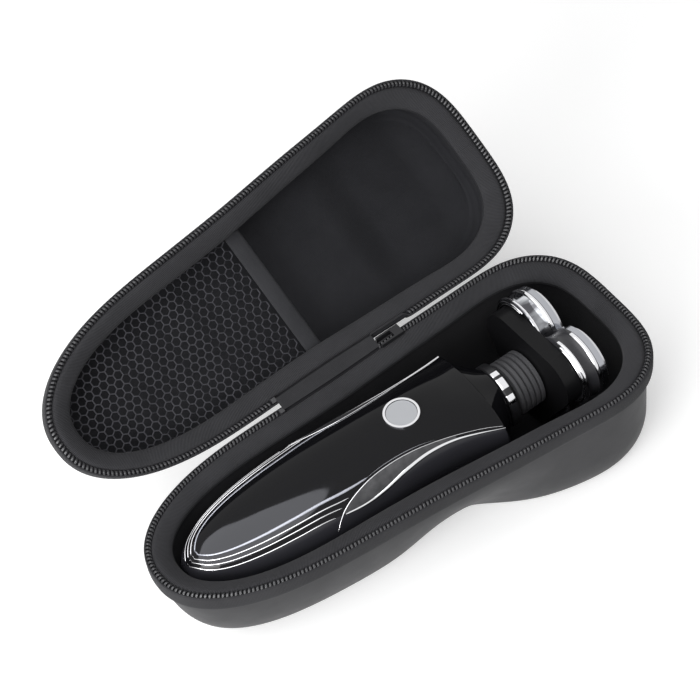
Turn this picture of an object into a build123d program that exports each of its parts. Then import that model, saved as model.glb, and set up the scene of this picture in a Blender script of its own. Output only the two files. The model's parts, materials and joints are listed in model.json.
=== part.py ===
from build123d import *
from math import cos, exp, hypot, pi, radians, sin, sqrt
import os

# A zipped hard case for an electric shaver. It stands open, with the shaver lying in its tray.
# Millimetres, +Z up. The origin is the middle of the flat underside that the case stands on, and +X
# runs towards the shaver's head. The lid is hinged on the +Y side and is modelled swung open.
# An inset is a distance inwards from the teeth line, and a depth is a distance below a rim's plane.

# ---- case: plan outline of the teeth line
case_length = 208.0
tail_half_width = 40.64
head_half_width = 50.35
shoulder_at = 0.69            # share of the half length where the tail's width turns into the head's
shoulder_span = 0.102
waist_draw = 5.13             # how far the long sides are drawn in
waist_at = -0.205
waist_span = 0.512
tail_roundness = 2.28         # superellipse exponents of the two ends
head_roundness = 3.48
outline_arcs = 24

# ---- case: tray and lid
tray_depth = 52.0
lid_depth = 26.0
shell_wall = 3.0
liner_wall = 1.6
seam = 0.1                    # gap between layers that are sewn or glued together
band_height = 8.0             # the zipper tape's height on the outside of a rim
band_thickness = 0.8
shell_step = 1.4              # the shell stands this far inside the zipper tape, below it
shell_edge_depth = 3.0
tail_corner = (38.5, 47.5)    # rounding from wall to underside: run in plan, rise
head_corner = (9.75, 18.5)
lid_corner = (12.0, 15.0)
corner_share = 0.93           # the rounding stops here, at the edge of the flat underside
grip_pinch = 13.0             # how far the tray's sides are drawn in at its underside
grip_at = 0.124
grip_span = 0.249
grip_start_depth = 10.0
level_shares = (0.0, 0.4, 0.65, 0.82, 0.93, 1.0)

# ---- case: rim
tooth_width = 1.9
tooth_height = 2.0
tooth_depth = 0.3             # the teeth stop this far short of the rim's plane
tape_edge_depth = 0.6
binding_start = 3.3
binding_end = 9.3
binding_depth = 1.0
binding_fall = 2.0            # the binding slopes down towards the hollow
binding_thickness = 1.0
lip_thickness = 1.4
stop_length = 2.0

# ---- case: hinge
hinge_y = 37.82
hinge_turn = 3.54             # the hinge line's angle to X, in degrees
lid_angle = 142.31            # how far the lid stands open
hinge_strip_start = -27.0
hinge_strip_end = 19.0
hinge_strip_reach = 3.6
hinge_strip_thickness = 0.45
hinge_gap = 0.15

# ---- case: slider and pull tab
slider_length = 10.5
slider_travel = 6.0
slider_plate = 0.8
slider_clearance = 0.2
slider_drop = 4.6             # how far the outer plate reaches below the rim's plane
slider_rise = 0.85            # how far the slider reaches above the rim's plane
slider_inner_drop = 2.2
wedge_length = 4.0
lug_width = 0.9
lug_reach = 1.5
lug_height = 1.4
tab_length = 18.0
tab_width = 6.0
tab_eye_width = 3.2
tab_thickness = 0.9
tab_pin_radius = 0.4
tab_pin_clearance = 0.08
tab_pivot_drop = 3.0

# ---- case: lid interior
lid_floor_depth = 17.0
recess_floor_depth = 20.9
recess_start = 44.0
recess_end = 92.0
recess_width = 58.0
recess_taper = 4.0
recess_radius = 14.0
net_thickness = 0.6
net_depth = 7.6               # deep enough to clear the shaver when the lid is shut
net_pitch = 4.2
net_thread = 0.7
pocket_mouth = -3.4           # where the net ends and its elastic edge begins
pocket_edge_width = 6.8
pocket_edge_thickness = 1.2

# ---- shaver: body
neck_drop = 18.0              # the neck's axis, below the tray's rim plane
widest_drop = 14.0
body_roundness = 2.4
body_wall = 2.0
body_end = 36.0
# station along X, half width, top and underside, both measured from the rim's plane
body_stations = (
    (-93.0, 4.5, -9.0, -19.0),
    (-90.0, 8.2, -4.5, -24.0),
    (-84.0, 12.3, -0.8, -28.0),
    (-74.0, 16.8, 2.0, -32.0),
    (-60.0, 20.2, 3.8, -35.5),
    (-40.0, 22.3, 5.0, -38.0),
    (-15.0, 21.8, 5.6, -40.5),
    (5.0, 21.0, 5.6, -41.5),
    (22.0, 22.0, 3.6, -42.5),
    (body_end, 24.5, -0.3, -40.0),
)
# plan of the front cover's edge, from the neck end round to the tail
cover_edge = (
    (34.0, 21.0), (23.0, 17.4), (10.0, 15.9), (-9.0, 17.0), (-24.0, 18.6), (-38.0, 19.0),
    (-52.0, 18.2), (-66.0, 15.9), (-78.0, 12.0), (-86.5, 7.2), (-90.6, 2.6),
)
cover_tail = -91.5
trim_width = 0.9
trim_proud = 0.2
trim_sunk = 0.8
# plan of the leaf shaped panel on each side, beside the trim: out along its inner edge, and back
panel_edge = (
    (-33.0, 18.0), (-24.0, 15.2), (-14.0, 12.9), (-6.0, 12.4), (2.0, 12.7), (9.0, 13.6), (14.5, 15.0),
)
panel_back = ((3.0, 15.6), (-9.0, 16.35), (-21.0, 17.5))
stripe_count = 3
stripe_pitch = 1.6
stripe_width = 0.6
stripe_tip_share = 0.8        # the stripes crowd together at the tail's tip
stripe_ends = ((-35.0, 18.0), (-25.0, 13.0))    # the stripes stop at this slanting line

# ---- shaver: power button
button_x = 4.8
bezel_radius = 7.0
bezel_wall = 0.9
bezel_rise = 6.4              # above the rim's plane
bezel_height = 3.4
bezel_ledge = 1.2
button_radius = 5.9
button_rise = 6.1
button_height = 1.6

# ---- shaver: inner works
board_size = (60.0, 26.0, 1.6)
board_x = -34.0
board_drop = 6.5
battery_radius = 7.1
battery_length = 50.0
battery_x = -48.0
battery_drop = 21.0
motor_radius = 12.0
motor_length = 28.0
motor_x = 19.0
shaft_radius = 1.5
shaft_grip = 6.0              # the length of shaft inside the motor
bearing_clearance = 0.05
chassis_start = -52.0
chassis_end = 33.0
chassis_width = 18.0
chassis_thickness = 2.0
cradle_length = 6.0
cradle_places = (-50.0, -27.0)
foot_width = 10.0
feet = ((-42.0, 35.0), (0.0, 38.6))     # place along X, and the foot's end below the rim's plane

# ---- shaver: neck and head, measured along the head's axis from the point it swings about
neck_start = 36.1
neck_flange = (22.5, 2.5, 38.0)    # half width, and drops of the top and underside
neck_end = 45.2
neck_radius = 12.8
neck_bore = 8.9
collar_length = 4.0
collar_radius = 13.4
head_turn = 2.5               # the floating head stands turned by this many degrees
head_rise = 1.5               # the drive's axis, above the neck's axis
ball_radius = 8.6
ball_half_length = 3.0
stem_radius = 6.4
stem_bore = 5.0
cup_radius = 3.0
cup_bore = 2.2
cup_start = -4.0
cup_end = 1.0
shaft_ball_radius = 1.95
bellows_start = 3.2
bellows_length = 12.0
bellows_ribs = 5
bellows_radius = 11.6
bellows_rib = 1.3
bellows_bore = 8.2
lobe_offset = 15.0
lobe_angles = (30, 150, 270)
lobe_radius = 14.7
lobe_bridge = 9.0              # radius of the web that joins the lobes in the middle
base_length = 7.0
base_lobe_radius = 11.6
base_wall = 1.2
base_floor = 2.0
frame_length = 8.0
frame_wall = 1.5
frame_floor = 1.4
holder_length = 2.4
holder_inset = 0.5
cap_radius = 12.4
cap_clearance = 0.3
cap_proud = 1.5
cap_wall = 0.8
cap_flange_radius = 12.9
cap_flange = 1.0
cap_slots = 36
cap_slot_width = 0.45
cap_slot_start = 5.0
cap_slot_end = 11.6
cap_travel = 1.0
cutter_radius = 10.4
cutter_thickness = 0.6
cutter_clearance = 0.3
blade_count = 9
blade_width = 1.0
blade_height = 1.0
gear_module = 1.0
drive_teeth = 12
spindle_teeth = 18
gear_thickness = 2.4

# ---- derived places
rim_z = tray_depth
half_length = case_length / 2
hinge_point = Vector(0, hinge_y, rim_z)
hinge_direction = Vector(cos(radians(hinge_turn)), sin(radians(hinge_turn)), 0)
hinge_axis = Axis(hinge_point, hinge_direction)
neck_z = rim_z - neck_drop


def sigmoid(value):
    return 1 / (1 + exp(-value))


def half_width(u, tail_inset, head_inset, pinch):
    """Half width of a plan outline at share u of its half length, -1 at the tail and 1 at the head."""
    width = tail_half_width + (head_half_width - tail_half_width) * sigmoid((u - shoulder_at) / shoulder_span)
    width -= waist_draw * exp(-(((u - waist_at) / waist_span) ** 2))
    width -= tail_inset + (head_inset - tail_inset) * sigmoid(u / 0.25)
    width -= pinch * exp(-(((u - grip_at) / grip_span) ** 2))
    power = tail_roundness + (head_roundness - tail_roundness) * sigmoid(u / 0.08)
    return width * max(0.0, 1 - abs(u) ** power) ** (1 / power)


def plan_outline(tail_inset, head_inset, pinch):
    """Points round an outline, two for each arc, starting so that an arc crosses each end squarely."""
    points = []
    for index in range(2 * outline_arcs):
        angle = pi * (index - 1) / outline_arcs
        reach = half_length - (head_inset if cos(angle) > 0 else tail_inset)
        width = half_width(cos(angle), tail_inset, head_inset, pinch)
        points.append((reach * cos(angle), width if sin(angle) >= 0 else -width))
    return points


def smooth_face(plane, points):
    """A face bounded by arcs through each three points in turn."""
    with BuildSketch(plane) as profile:
        with BuildLine():
            for index in range(0, len(points), 2):
                ThreePointArc(points[index], points[index + 1], points[(index + 2) % len(points)])
        make_face()
    return profile.sketch


def tray_level(depth):
    return Plane(origin=(0, 0, rim_z - depth), x_dir=(1, 0, 0), z_dir=(0, 0, -1))


def swing(direction):
    return Vector(direction).rotate(hinge_axis, -lid_angle)


def swing_point(point):
    return hinge_point + swing(Vector(point) - hinge_point)


def lid_level(depth):
    return Plane(origin=swing_point((0, 0, rim_z + depth)), x_dir=swing((1, 0, 0)), z_dir=swing((0, 0, 1)))


def stack(level_plane, levels):
    """Plan outlines at (depth, tail inset, head inset, pinch), ready to be lofted."""
    return [smooth_face(level_plane(depth), plan_outline(*rest)) for depth, *rest in levels]


def even(*pairs):
    """Levels with one inset all round, from (depth, inset) pairs."""
    return [(depth, inset, inset, 0) for depth, inset in pairs]


def rounding(depth, floor, corner):
    run, rise = corner
    share = max(0.0, (depth - floor + rise) / rise) * corner_share
    return run * (1 - sqrt(1 - share ** 2))


def bowl(total_depth, tail_round, head_round, pinch, start_depth, start_inset, wall):
    """Levels of one skin of a bowl, which lies wall mm inside the bowl's outer skin."""
    floor = total_depth - wall
    levels = even((start_depth, start_inset), (band_height + seam, seam + wall))
    for share in level_shares:
        first = band_height + 1
        depth = first + (floor - first) * share
        tail = seam + shell_step + wall + rounding(depth + wall, total_depth, tail_round)
        head = seam + shell_step + wall + rounding(depth + wall, total_depth, head_round)
        draw = max(0.0, (depth - grip_start_depth) / (total_depth - grip_start_depth))
        levels.append((depth, tail, head, pinch * draw ** 2 * (3 - 2 * draw)))
    return levels


def tray_skin(start_depth, start_inset, wall):
    return bowl(tray_depth, tail_corner, head_corner, grip_pinch, start_depth, start_inset, wall)


def lid_skin(start_depth, start_inset, wall):
    return bowl(lid_depth, lid_corner, lid_corner, 0, start_depth, start_inset, wall)


def funnel(clearance):
    """The slope above the binding or, with a clearance, above the liner's lip below it."""
    slope = binding_fall / (binding_end - binding_start)
    top = binding_depth + clearance
    return even(
        (top - 1.0, binding_start - 1.0 / slope),
        (top + binding_fall, binding_end),
        (top + binding_fall + binding_thickness + lip_thickness + 1, binding_end),
    )


lip_depth = binding_thickness + seam
lip_bottom = binding_depth + lip_depth + binding_fall + lip_thickness
liner_start = seam + shell_wall + seam
cavity_inset = liner_start + liner_wall

os.makedirs("parts", exist_ok=True)


def save(piece, label):
    piece.part.label = label
    export_step(piece.part, f"parts/{label}.step")


def place_box(plane, low, high):
    """A box from one corner to the other in the axes of a plane."""
    with BuildPart() as block:
        with BuildSketch(plane.offset(low[2])):
            with Locations(((low[0] + high[0]) / 2, (low[1] + high[1]) / 2)):
                Rectangle(high[0] - low[0], high[1] - low[1])
        extrude(amount=high[2] - low[2])
    return block.part


# ---- the two bowls: shell, liner, binding, zipper tape and teeth
closed_hinge = Plane(origin=hinge_point, x_dir=hinge_direction, z_dir=(0, 0, 1))
open_hinge = Plane(origin=hinge_point, x_dir=hinge_direction, z_dir=swing((0, 0, 1)))
slider_start = hinge_strip_end + 0.5
slider_end = slider_start + slider_length
chain_start = hinge_strip_start - stop_length - seam
tray_hinge_zone = place_box(closed_hinge, (chain_start, -8, -4), (hinge_strip_end, 4, 4))
lid_hinge_zone = place_box(open_hinge, (chain_start, -8, -4), (slider_end + slider_travel + 0.3, 4, 4))
lid_notch = place_box(open_hinge, (hinge_strip_end, -2.5, -1), (slider_end + slider_travel + 0.3, 4, 12))

for half, level_plane, skin in (("tray", tray_level, tray_skin), ("lid", lid_level, lid_skin)):
    with BuildPart() as shell:
        loft(stack(level_plane, skin(shell_edge_depth, seam, 0)), ruled=True)
        loft(stack(level_plane, skin(shell_edge_depth - 1, seam + shell_wall, shell_wall)), ruled=True,
             mode=Mode.SUBTRACT)
    save(shell, f"{half}_shell")

    with BuildPart() as binding:
        low = binding_depth + binding_thickness
        past = 1.25           # the slope runs on into the hollow, where the funnel cuts it off
        loft(stack(level_plane, even((binding_depth / 2, binding_start), (low, binding_start),
                                     (low + past * binding_fall,
                                      binding_start + past * (binding_end - binding_start)))), ruled=True)
        loft(stack(level_plane, funnel(0)), ruled=True, mode=Mode.SUBTRACT)
    save(binding, f"{half}_binding")

    with BuildPart() as tape:
        loft(stack(level_plane, even((tape_edge_depth, -band_thickness), (band_height, -band_thickness))),
             ruled=True)
        loft(stack(level_plane, even((tape_edge_depth - 1, 0), (band_height + 1, 0))), ruled=True,
             mode=Mode.SUBTRACT)
        if half == "lid":
            add(lid_notch, mode=Mode.SUBTRACT)
    save(tape, f"{half}_zipper_tape")

    with BuildPart() as teeth:
        tooth_end = tooth_depth + tooth_height
        loft(stack(level_plane, even((tooth_depth, seam), (tooth_end, seam))), ruled=True)
        inner_edge = seam + tooth_width
        loft(stack(level_plane, even((tooth_depth - 1, inner_edge), (tooth_end + 1, inner_edge))),
             ruled=True, mode=Mode.SUBTRACT)
        add(tray_hinge_zone if half == "tray" else lid_hinge_zone, mode=Mode.SUBTRACT)
    save(teeth, f"{half}_zipper_teeth")

# ---- liners: a rolled lip round the hollow, under the binding
with BuildPart() as tray_liner:
    loft(stack(tray_level, tray_skin(binding_depth + lip_depth, liner_start, shell_wall + seam)), ruled=True)
    loft(stack(tray_level, funnel(lip_depth)), ruled=True, mode=Mode.SUBTRACT)
    loft(stack(tray_level, tray_skin(lip_bottom, cavity_inset, shell_wall + seam + liner_wall)),
         ruled=True, mode=Mode.SUBTRACT)
save(tray_liner, "tray_liner")

# The lid's liner is a thick moulding: a shallow hollow all over, and a deeper one over the shaver's head.
shallow = even((lip_bottom, cavity_inset), (band_height + 1, cavity_inset + shell_step),
               (lid_floor_depth, cavity_inset + shell_step + recess_taper / 2))
with BuildPart() as lid_liner:
    loft(stack(lid_level, lid_skin(binding_depth + lip_depth, liner_start, shell_wall + seam)), ruled=True)
    loft(stack(lid_level, funnel(lip_depth)), ruled=True, mode=Mode.SUBTRACT)
    loft(stack(lid_level, shallow), ruled=True, mode=Mode.SUBTRACT)
    for depth, taper in ((lid_floor_depth - 1, 0), (recess_floor_depth, recess_taper)):
        with BuildSketch(lid_level(depth)):
            with Locations(((recess_start + recess_end) / 2, 0)):
                RectangleRounded(recess_end - recess_start - taper, recess_width - taper,
                                 recess_radius - taper / 2)
    loft(mode=Mode.SUBTRACT)
save(lid_liner, "lid_liner")

# ---- hinge: one fabric strip, sewn to both rims, whose two leaves meet along the hinge line
strip_middle = ((hinge_strip_start + hinge_strip_end) / 2, -(hinge_gap + hinge_strip_reach) / 2)
strip_length = hinge_strip_end - hinge_strip_start - 2 * seam
for half, hinge_plane, side in (("tray", closed_hinge, -1), ("lid", open_hinge, 1)):
    with BuildPart() as strip:
        with BuildSketch(hinge_plane.offset(side * seam)):
            with Locations(strip_middle):
                Rectangle(strip_length, hinge_strip_reach - hinge_gap)
        extrude(amount=side * hinge_strip_thickness)
    save(strip, f"{half}_hinge_strip")

# ---- zipper stops: a crimp on each chain's end, beside the hinge strip
rim_gap = hinge_y - half_width(0, 0, 0, 0)
for half, hinge_plane, side in (("tray", closed_hinge, -1), ("lid", open_hinge, 1)):
    with BuildPart() as stop:
        with BuildSketch(hinge_plane.offset(side * tooth_depth)):
            with Locations((hinge_strip_start - stop_length / 2, -rim_gap - seam - tooth_width / 2)):
                Rectangle(stop_length - seam, tooth_width)
        extrude(amount=side * tooth_height)
    save(stop, f"{half}_zipper_stop")

# ---- lid pocket: a net over the tail half of the lid, with an elastic edge at its mouth
net_side = net_pitch / sqrt(3) - net_thread / 2
net_edge = cavity_inset + shell_step


def net_holes():
    """Middles of the net's hexagonal gaps, in rows that fill the pocket."""
    row_step = net_pitch * sqrt(3) / 2
    middles = []
    for row in range(-7, 8):
        for column in range(0, 22):
            x = pocket_mouth - net_pitch * (column + 0.8 + (row % 2) / 2)
            u = x / (half_length - net_edge)
            if u > -0.96 and abs(row * row_step) < half_width(u, net_edge + 3, net_edge + 3, 0):
                middles.append((x, row * row_step))
    return middles


pocket_cut = place_box(lid_level(0), (pocket_mouth, -half_length, 0), (half_length, half_length, lid_depth))
net_outline = plan_outline(net_edge, net_edge, 0)
with BuildPart() as pocket_net:
    with BuildSketch(lid_level(net_depth)):
        add(smooth_face(Plane.XY, net_outline))
        with Locations(*net_holes()):
            RegularPolygon(net_side, 6, rotation=30, mode=Mode.SUBTRACT)
    extrude(amount=net_thickness)
    add(pocket_cut, mode=Mode.SUBTRACT)
save(pocket_net, "pocket_net")

edge_middle = pocket_mouth + seam + pocket_edge_width / 2
edge_reach = half_width(edge_middle / half_length, net_edge, net_edge, 0) - seam
with BuildPart() as pocket_edge:
    with BuildSketch(lid_level(net_depth - (pocket_edge_thickness - net_thickness) / 2)):
        with Locations((edge_middle, 0)):
            Rectangle(pocket_edge_width, 2 * edge_reach)
    extrude(amount=pocket_edge_thickness)
save(pocket_edge, "pocket_edge")

# ---- zipper slider: two plates that straddle the tray's teeth, joined by a wedge above them
slider_middle = (slider_start + slider_end) / 2
slider_y = half_width(slider_middle / half_length, 0, 0, 0)
slider_frame = Plane(origin=(slider_middle, slider_y, rim_z), x_dir=hinge_direction, z_dir=(0, 0, 1))
outer_face = band_thickness + slider_clearance
inner_face = -(seam + tooth_width + slider_clearance)
pin_out = outer_face + slider_plate + lug_reach - lug_height / 2
lug_place = tab_eye_width / 2 + seam + lug_width
with BuildPart() as slider:
    add(place_box(slider_frame, (-slider_length / 2, outer_face, -slider_drop),
                  (slider_length / 2, outer_face + slider_plate, slider_rise)))
    add(place_box(slider_frame, (-slider_length / 2, inner_face - slider_plate, -slider_inner_drop),
                  (slider_length / 2, inner_face, slider_rise)))
    add(place_box(slider_frame, (slider_length / 2 - wedge_length, inner_face, -tooth_depth / 2),
                  (slider_length / 2, outer_face, slider_rise)))
    for end in (-1, 1):
        low, high = sorted((end * lug_place, end * (lug_place - lug_width)))
        add(place_box(slider_frame, (low, outer_face, -tab_pivot_drop - lug_height / 2),
                      (high, outer_face + slider_plate + lug_reach, -tab_pivot_drop + lug_height / 2)))
save(slider, "slider_body")

pin_plane = Plane(origin=slider_frame.from_local_coords((0, pin_out, -tab_pivot_drop)),
                  x_dir=(0, 0, 1), z_dir=hinge_direction)
with BuildPart() as slider_pin:
    with BuildSketch(pin_plane):
        Circle(tab_pin_radius)
    extrude(amount=lug_place - lug_width, both=True)
save(slider_pin, "slider_pin")

# ---- pull tab: hangs from the pin between the slider's lugs
tab_eye = tab_thickness / 2 + 0.2
with BuildPart() as pull_tab:
    with BuildSketch(pin_plane):
        Circle(tab_eye)
        with Locations((-tab_eye * 2, 0)):
            Rectangle(tab_eye * 4, tab_thickness)
        Circle(tab_pin_radius + tab_pin_clearance, mode=Mode.SUBTRACT)
    extrude(amount=tab_eye_width / 2, both=True)
    with BuildSketch(pin_plane):
        with Locations((-tab_eye * 4 - (tab_length - tab_eye * 4) / 2, 0)):
            Rectangle(tab_length - tab_eye * 4, tab_thickness)
    extrude(amount=tab_width / 2, both=True)
save(pull_tab, "pull_tab")


# ---- shaver body: one tapered shell, parted along the cover's edge
def section_points(half_wide, top, underside):
    """A rounded section across X, as (y, height) points, two for each arc."""
    middle = -widest_drop
    points = []
    for index in range(24):
        angle = pi * (index - 1) / 12
        across = abs(cos(angle)) ** (2 / body_roundness) * (1 if cos(angle) > 0 else -1)
        upward = abs(sin(angle)) ** (2 / body_roundness)
        height = middle + upward * (top - middle if sin(angle) > 0 else underside - middle)
        points.append((half_wide * across, height))
    return points


def section_plane(x):
    """The plane across X at x, whose own axes are +Y and the height above the rim's plane."""
    return Plane(origin=(x, 0, rim_z), x_dir=(0, 1, 0), z_dir=(1, 0, 0))


def body_loft(shrink):
    """The shaver's body, shrunk on every side except the neck end, which runs on past the body's end."""
    sections = []
    for x, half_wide, top, underside in body_stations:
        place = x + (shrink if x == body_stations[0][0] else 0) + (1 if x == body_end and shrink else 0)
        points = section_points(half_wide - shrink, top - shrink, underside + shrink)
        sections.append(smooth_face(section_plane(place), points))
    with BuildPart() as body:
        loft(sections, ruled=True)
    return body.part


def shifted(points, distance):
    """An open line's points, moved sideways to the left of its run."""
    moved = []
    for index, (x, y) in enumerate(points):
        before = points[max(index - 1, 0)]
        after = points[min(index + 1, len(points) - 1)]
        run, rise = after[0] - before[0], after[1] - before[1]
        length = hypot(run, rise)
        moved.append((x - distance * rise / length, y + distance * run / length))
    return moved


def arc_chain(points):
    for index in range(0, len(points) - 2, 2):
        ThreePointArc(points[index], points[index + 1], points[index + 2])


cover_line = list(cover_edge) + [(cover_tail, 0)] + [(x, -y) for x, y in reversed(cover_edge)]
cover_floor = Plane(origin=(0, 0, rim_z - widest_drop + 2))
cover_reach = 24.0


def nested(inward):
    """The cover's edge drawn smaller, so that it lies this far inwards at its widest place."""
    narrowing = 1 - inward / max(y for _, y in cover_edge)
    tip = cover_tail + stripe_tip_share * inward
    stretch = (cover_edge[0][0] - tip) / (cover_edge[0][0] - cover_tail)
    return [(tip + (x - cover_tail) * stretch, y * narrowing) for x, y in cover_line]


def cover_face(line, plane):
    """Plan of the area inside a line round the cover, closed beyond the neck end."""
    with BuildSketch(plane) as area:
        with BuildLine():
            arc_chain(line)
            Polyline(line[-1], (body_end + 2, line[-1][1]), (body_end + 2, line[0][1]), line[0])
        make_face()
    return area.sketch


def cover_prism(*faces_and_modes):
    with BuildPart() as prism:
        for face, mode in faces_and_modes:
            extrude(face, amount=cover_reach, mode=mode)
    return prism.part


def leaf_face(side, grow):
    """Plan of a side panel, a thin leaf whose long edges move out by grow."""
    tail_point = (panel_edge[0][0] - 3 * grow, side * panel_edge[0][1])
    neck_point = (panel_edge[-1][0] + 3 * grow, side * panel_edge[-1][1])
    inner = [(x, side * (y - grow)) for x, y in panel_edge[1:-1]]
    outer = [(x, side * (y + grow)) for x, y in panel_back]
    with BuildSketch(cover_floor) as area:
        with BuildLine():
            arc_chain([tail_point] + inner + [neck_point] + outer + [tail_point])
        make_face()
    return area.sketch


def stripe_faces(grow):
    """Plans of the stripes that run round the tail inside the cover's edge."""
    (first_x, first_y), (last_x, last_y) = stripe_ends
    with BuildSketch(cover_floor) as area:
        for index in range(stripe_count):
            start = stripe_pitch * (index + 1)
            add(cover_face(nested(start - grow), Plane.XY))
            add(cover_face(nested(start + stripe_width + grow), Plane.XY), mode=Mode.SUBTRACT)
        with BuildLine(mode=Mode.PRIVATE) as limit:
            Polyline((first_x, first_y), (last_x, last_y), (last_x, -last_y), (first_x, -first_y),
                     (first_x, -40), (60, -40), (60, 40), (first_x, 40), (first_x, first_y))
        make_face(limit.edges(), mode=Mode.SUBTRACT)
    return area.sketch


outer_body = body_loft(0)
inner_body = body_loft(body_wall)
inlay_bed = body_loft(trim_sunk + seam)
with BuildPart() as layer:
    add(body_loft(-trim_proud))
    add(body_loft(trim_sunk), mode=Mode.SUBTRACT)

with BuildPart() as grooves:
    add(cover_prism((leaf_face(1, 1.2 * seam), Mode.ADD), (leaf_face(-1, 1.2 * seam), Mode.ADD),
                    (stripe_faces(seam), Mode.ADD)))
    add(inlay_bed, mode=Mode.SUBTRACT)

button_plane = Plane(origin=(button_x, 0, rim_z + bezel_rise))
with BuildPart() as front_cover:
    add(outer_body)
    add(inner_body, mode=Mode.SUBTRACT)
    add(cover_prism((cover_face(cover_line, cover_floor), Mode.ADD)), mode=Mode.INTERSECT)
    add(grooves.part, mode=Mode.SUBTRACT)
    with BuildSketch(button_plane):
        Circle(bezel_radius + seam)
    extrude(amount=-2 * bezel_height, mode=Mode.SUBTRACT)
save(front_cover, "front_cover")

with BuildPart() as rear_housing:
    add(outer_body)
    add(inner_body, mode=Mode.SUBTRACT)
    add(cover_prism((cover_face(shifted(cover_line, -trim_width - 2 * seam), cover_floor), Mode.ADD)),
        mode=Mode.SUBTRACT)
save(rear_housing, "rear_housing")

with BuildPart() as side_trim:
    add(layer.part)
    add(cover_prism((cover_face(shifted(cover_line, -trim_width - seam), cover_floor), Mode.ADD),
                    (cover_face(shifted(cover_line, -seam), cover_floor), Mode.SUBTRACT)),
        mode=Mode.INTERSECT)
save(side_trim, "side_trim")

for name, side in (("left", 1), ("right", -1)):
    with BuildPart() as panel:
        add(layer.part)
        add(cover_prism((leaf_face(side, 0), Mode.ADD)), mode=Mode.INTERSECT)
    save(panel, f"side_panel_{name}")

with BuildPart() as tail_stripes:
    add(layer.part)
    add(cover_prism((stripe_faces(0), Mode.ADD)), mode=Mode.INTERSECT)
save(tail_stripes, "tail_stripes")

# ---- power button: a brushed disc that sinks into a chromed ring
with BuildPart() as bezel:
    with BuildSketch(button_plane):
        Circle(bezel_radius)
        Circle(bezel_radius - bezel_wall, mode=Mode.SUBTRACT)
    extrude(amount=-bezel_height)
    with BuildSketch(button_plane.offset(-bezel_height)):
        Circle(bezel_radius)
        Circle(bezel_radius - bezel_wall - bezel_ledge, mode=Mode.SUBTRACT)
    extrude(amount=bezel_ledge / 2)
save(bezel, "button_bezel")

with BuildPart() as power_button:
    with BuildSketch(Plane(origin=(button_x, 0, rim_z + button_rise))):
        Circle(button_radius)
    extrude(amount=-button_height)
save(power_button, "power_button")

# ---- inner works: chassis, battery, circuit board, motor
drive_height = head_rise - neck_drop
battery_plane = Plane(origin=(battery_x - battery_length / 2, 0, rim_z - battery_drop), z_dir=(1, 0, 0))
motor_plane = Plane(origin=(motor_x - motor_length / 2, 0, rim_z + drive_height), z_dir=(1, 0, 0))
chassis_top = drive_height - motor_radius - 2 * seam
board_underside = -board_drop - board_size[2] / 2
plate_plane = Plane(origin=(0, 0, rim_z))

with BuildPart() as chassis:
    half_chassis = chassis_width / 2
    add(place_box(plate_plane, (chassis_start, -half_chassis, chassis_top - chassis_thickness),
                  (chassis_end, half_chassis, chassis_top)))
    for x in cradle_places:
        add(place_box(plate_plane, (x, -half_chassis, chassis_top),
                      (x + cradle_length, half_chassis, board_underside - seam)))
        add(place_box(plate_plane, (x, -battery_radius - seam, -battery_drop),
                      (x + cradle_length, battery_radius + seam, board_underside)), mode=Mode.SUBTRACT)
    add(place_box(plate_plane, (motor_x - cradle_length, -half_chassis, chassis_top),
                  (motor_x, half_chassis, drive_height - motor_radius / 2)))
    for x, drop in feet:
        add(place_box(plate_plane, (x, -foot_width / 2, -drop),
                      (x + cradle_length, foot_width / 2, chassis_top)))
    with BuildSketch(battery_plane):
        Circle(battery_radius + seam)
    extrude(amount=battery_length, mode=Mode.SUBTRACT)
    with BuildSketch(motor_plane):
        Circle(motor_radius + seam)
    extrude(amount=motor_length, mode=Mode.SUBTRACT)
save(chassis, "chassis")

with BuildPart() as battery:
    with BuildSketch(battery_plane):
        Circle(battery_radius)
    extrude(amount=battery_length)
save(battery, "battery")

with BuildPart() as board:
    with Locations((board_x, 0, rim_z - board_drop)):
        Box(*board_size)
save(board, "circuit_board")

with BuildPart() as motor:
    with BuildSketch(motor_plane):
        Circle(motor_radius)
    extrude(amount=motor_length)
    with BuildSketch(motor_plane.offset(motor_length - shaft_grip)):
        Circle(shaft_radius + bearing_clearance)
    extrude(amount=shaft_grip, mode=Mode.SUBTRACT)
save(motor, "motor")

# ---- neck: a socket that carries the collar, in which the head's ball swings
neck_axis_plane = Plane(origin=(neck_end, 0, neck_z), x_dir=(0, 1, 0), z_dir=(1, 0, 0))
round_end = [(neck_radius * cos(pi * (index - 1) / 12), neck_radius * sin(pi * (index - 1) / 12))
             for index in range(24)]
with BuildPart() as neck_socket:
    flange_wide, flange_top, flange_under = neck_flange
    loft([smooth_face(section_plane(neck_start), section_points(flange_wide, -flange_top, -flange_under)),
          smooth_face(neck_axis_plane, round_end)], ruled=True)
    with BuildSketch(neck_axis_plane):
        Circle(neck_bore)
    extrude(amount=neck_start - neck_end, mode=Mode.SUBTRACT)
save(neck_socket, "neck_socket")

with BuildPart() as collar:
    with BuildSketch(neck_axis_plane.offset(seam)):
        Circle(collar_radius)
        Circle(neck_bore, mode=Mode.SUBTRACT)
    extrude(amount=collar_length)
save(collar, "release_collar")

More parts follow.
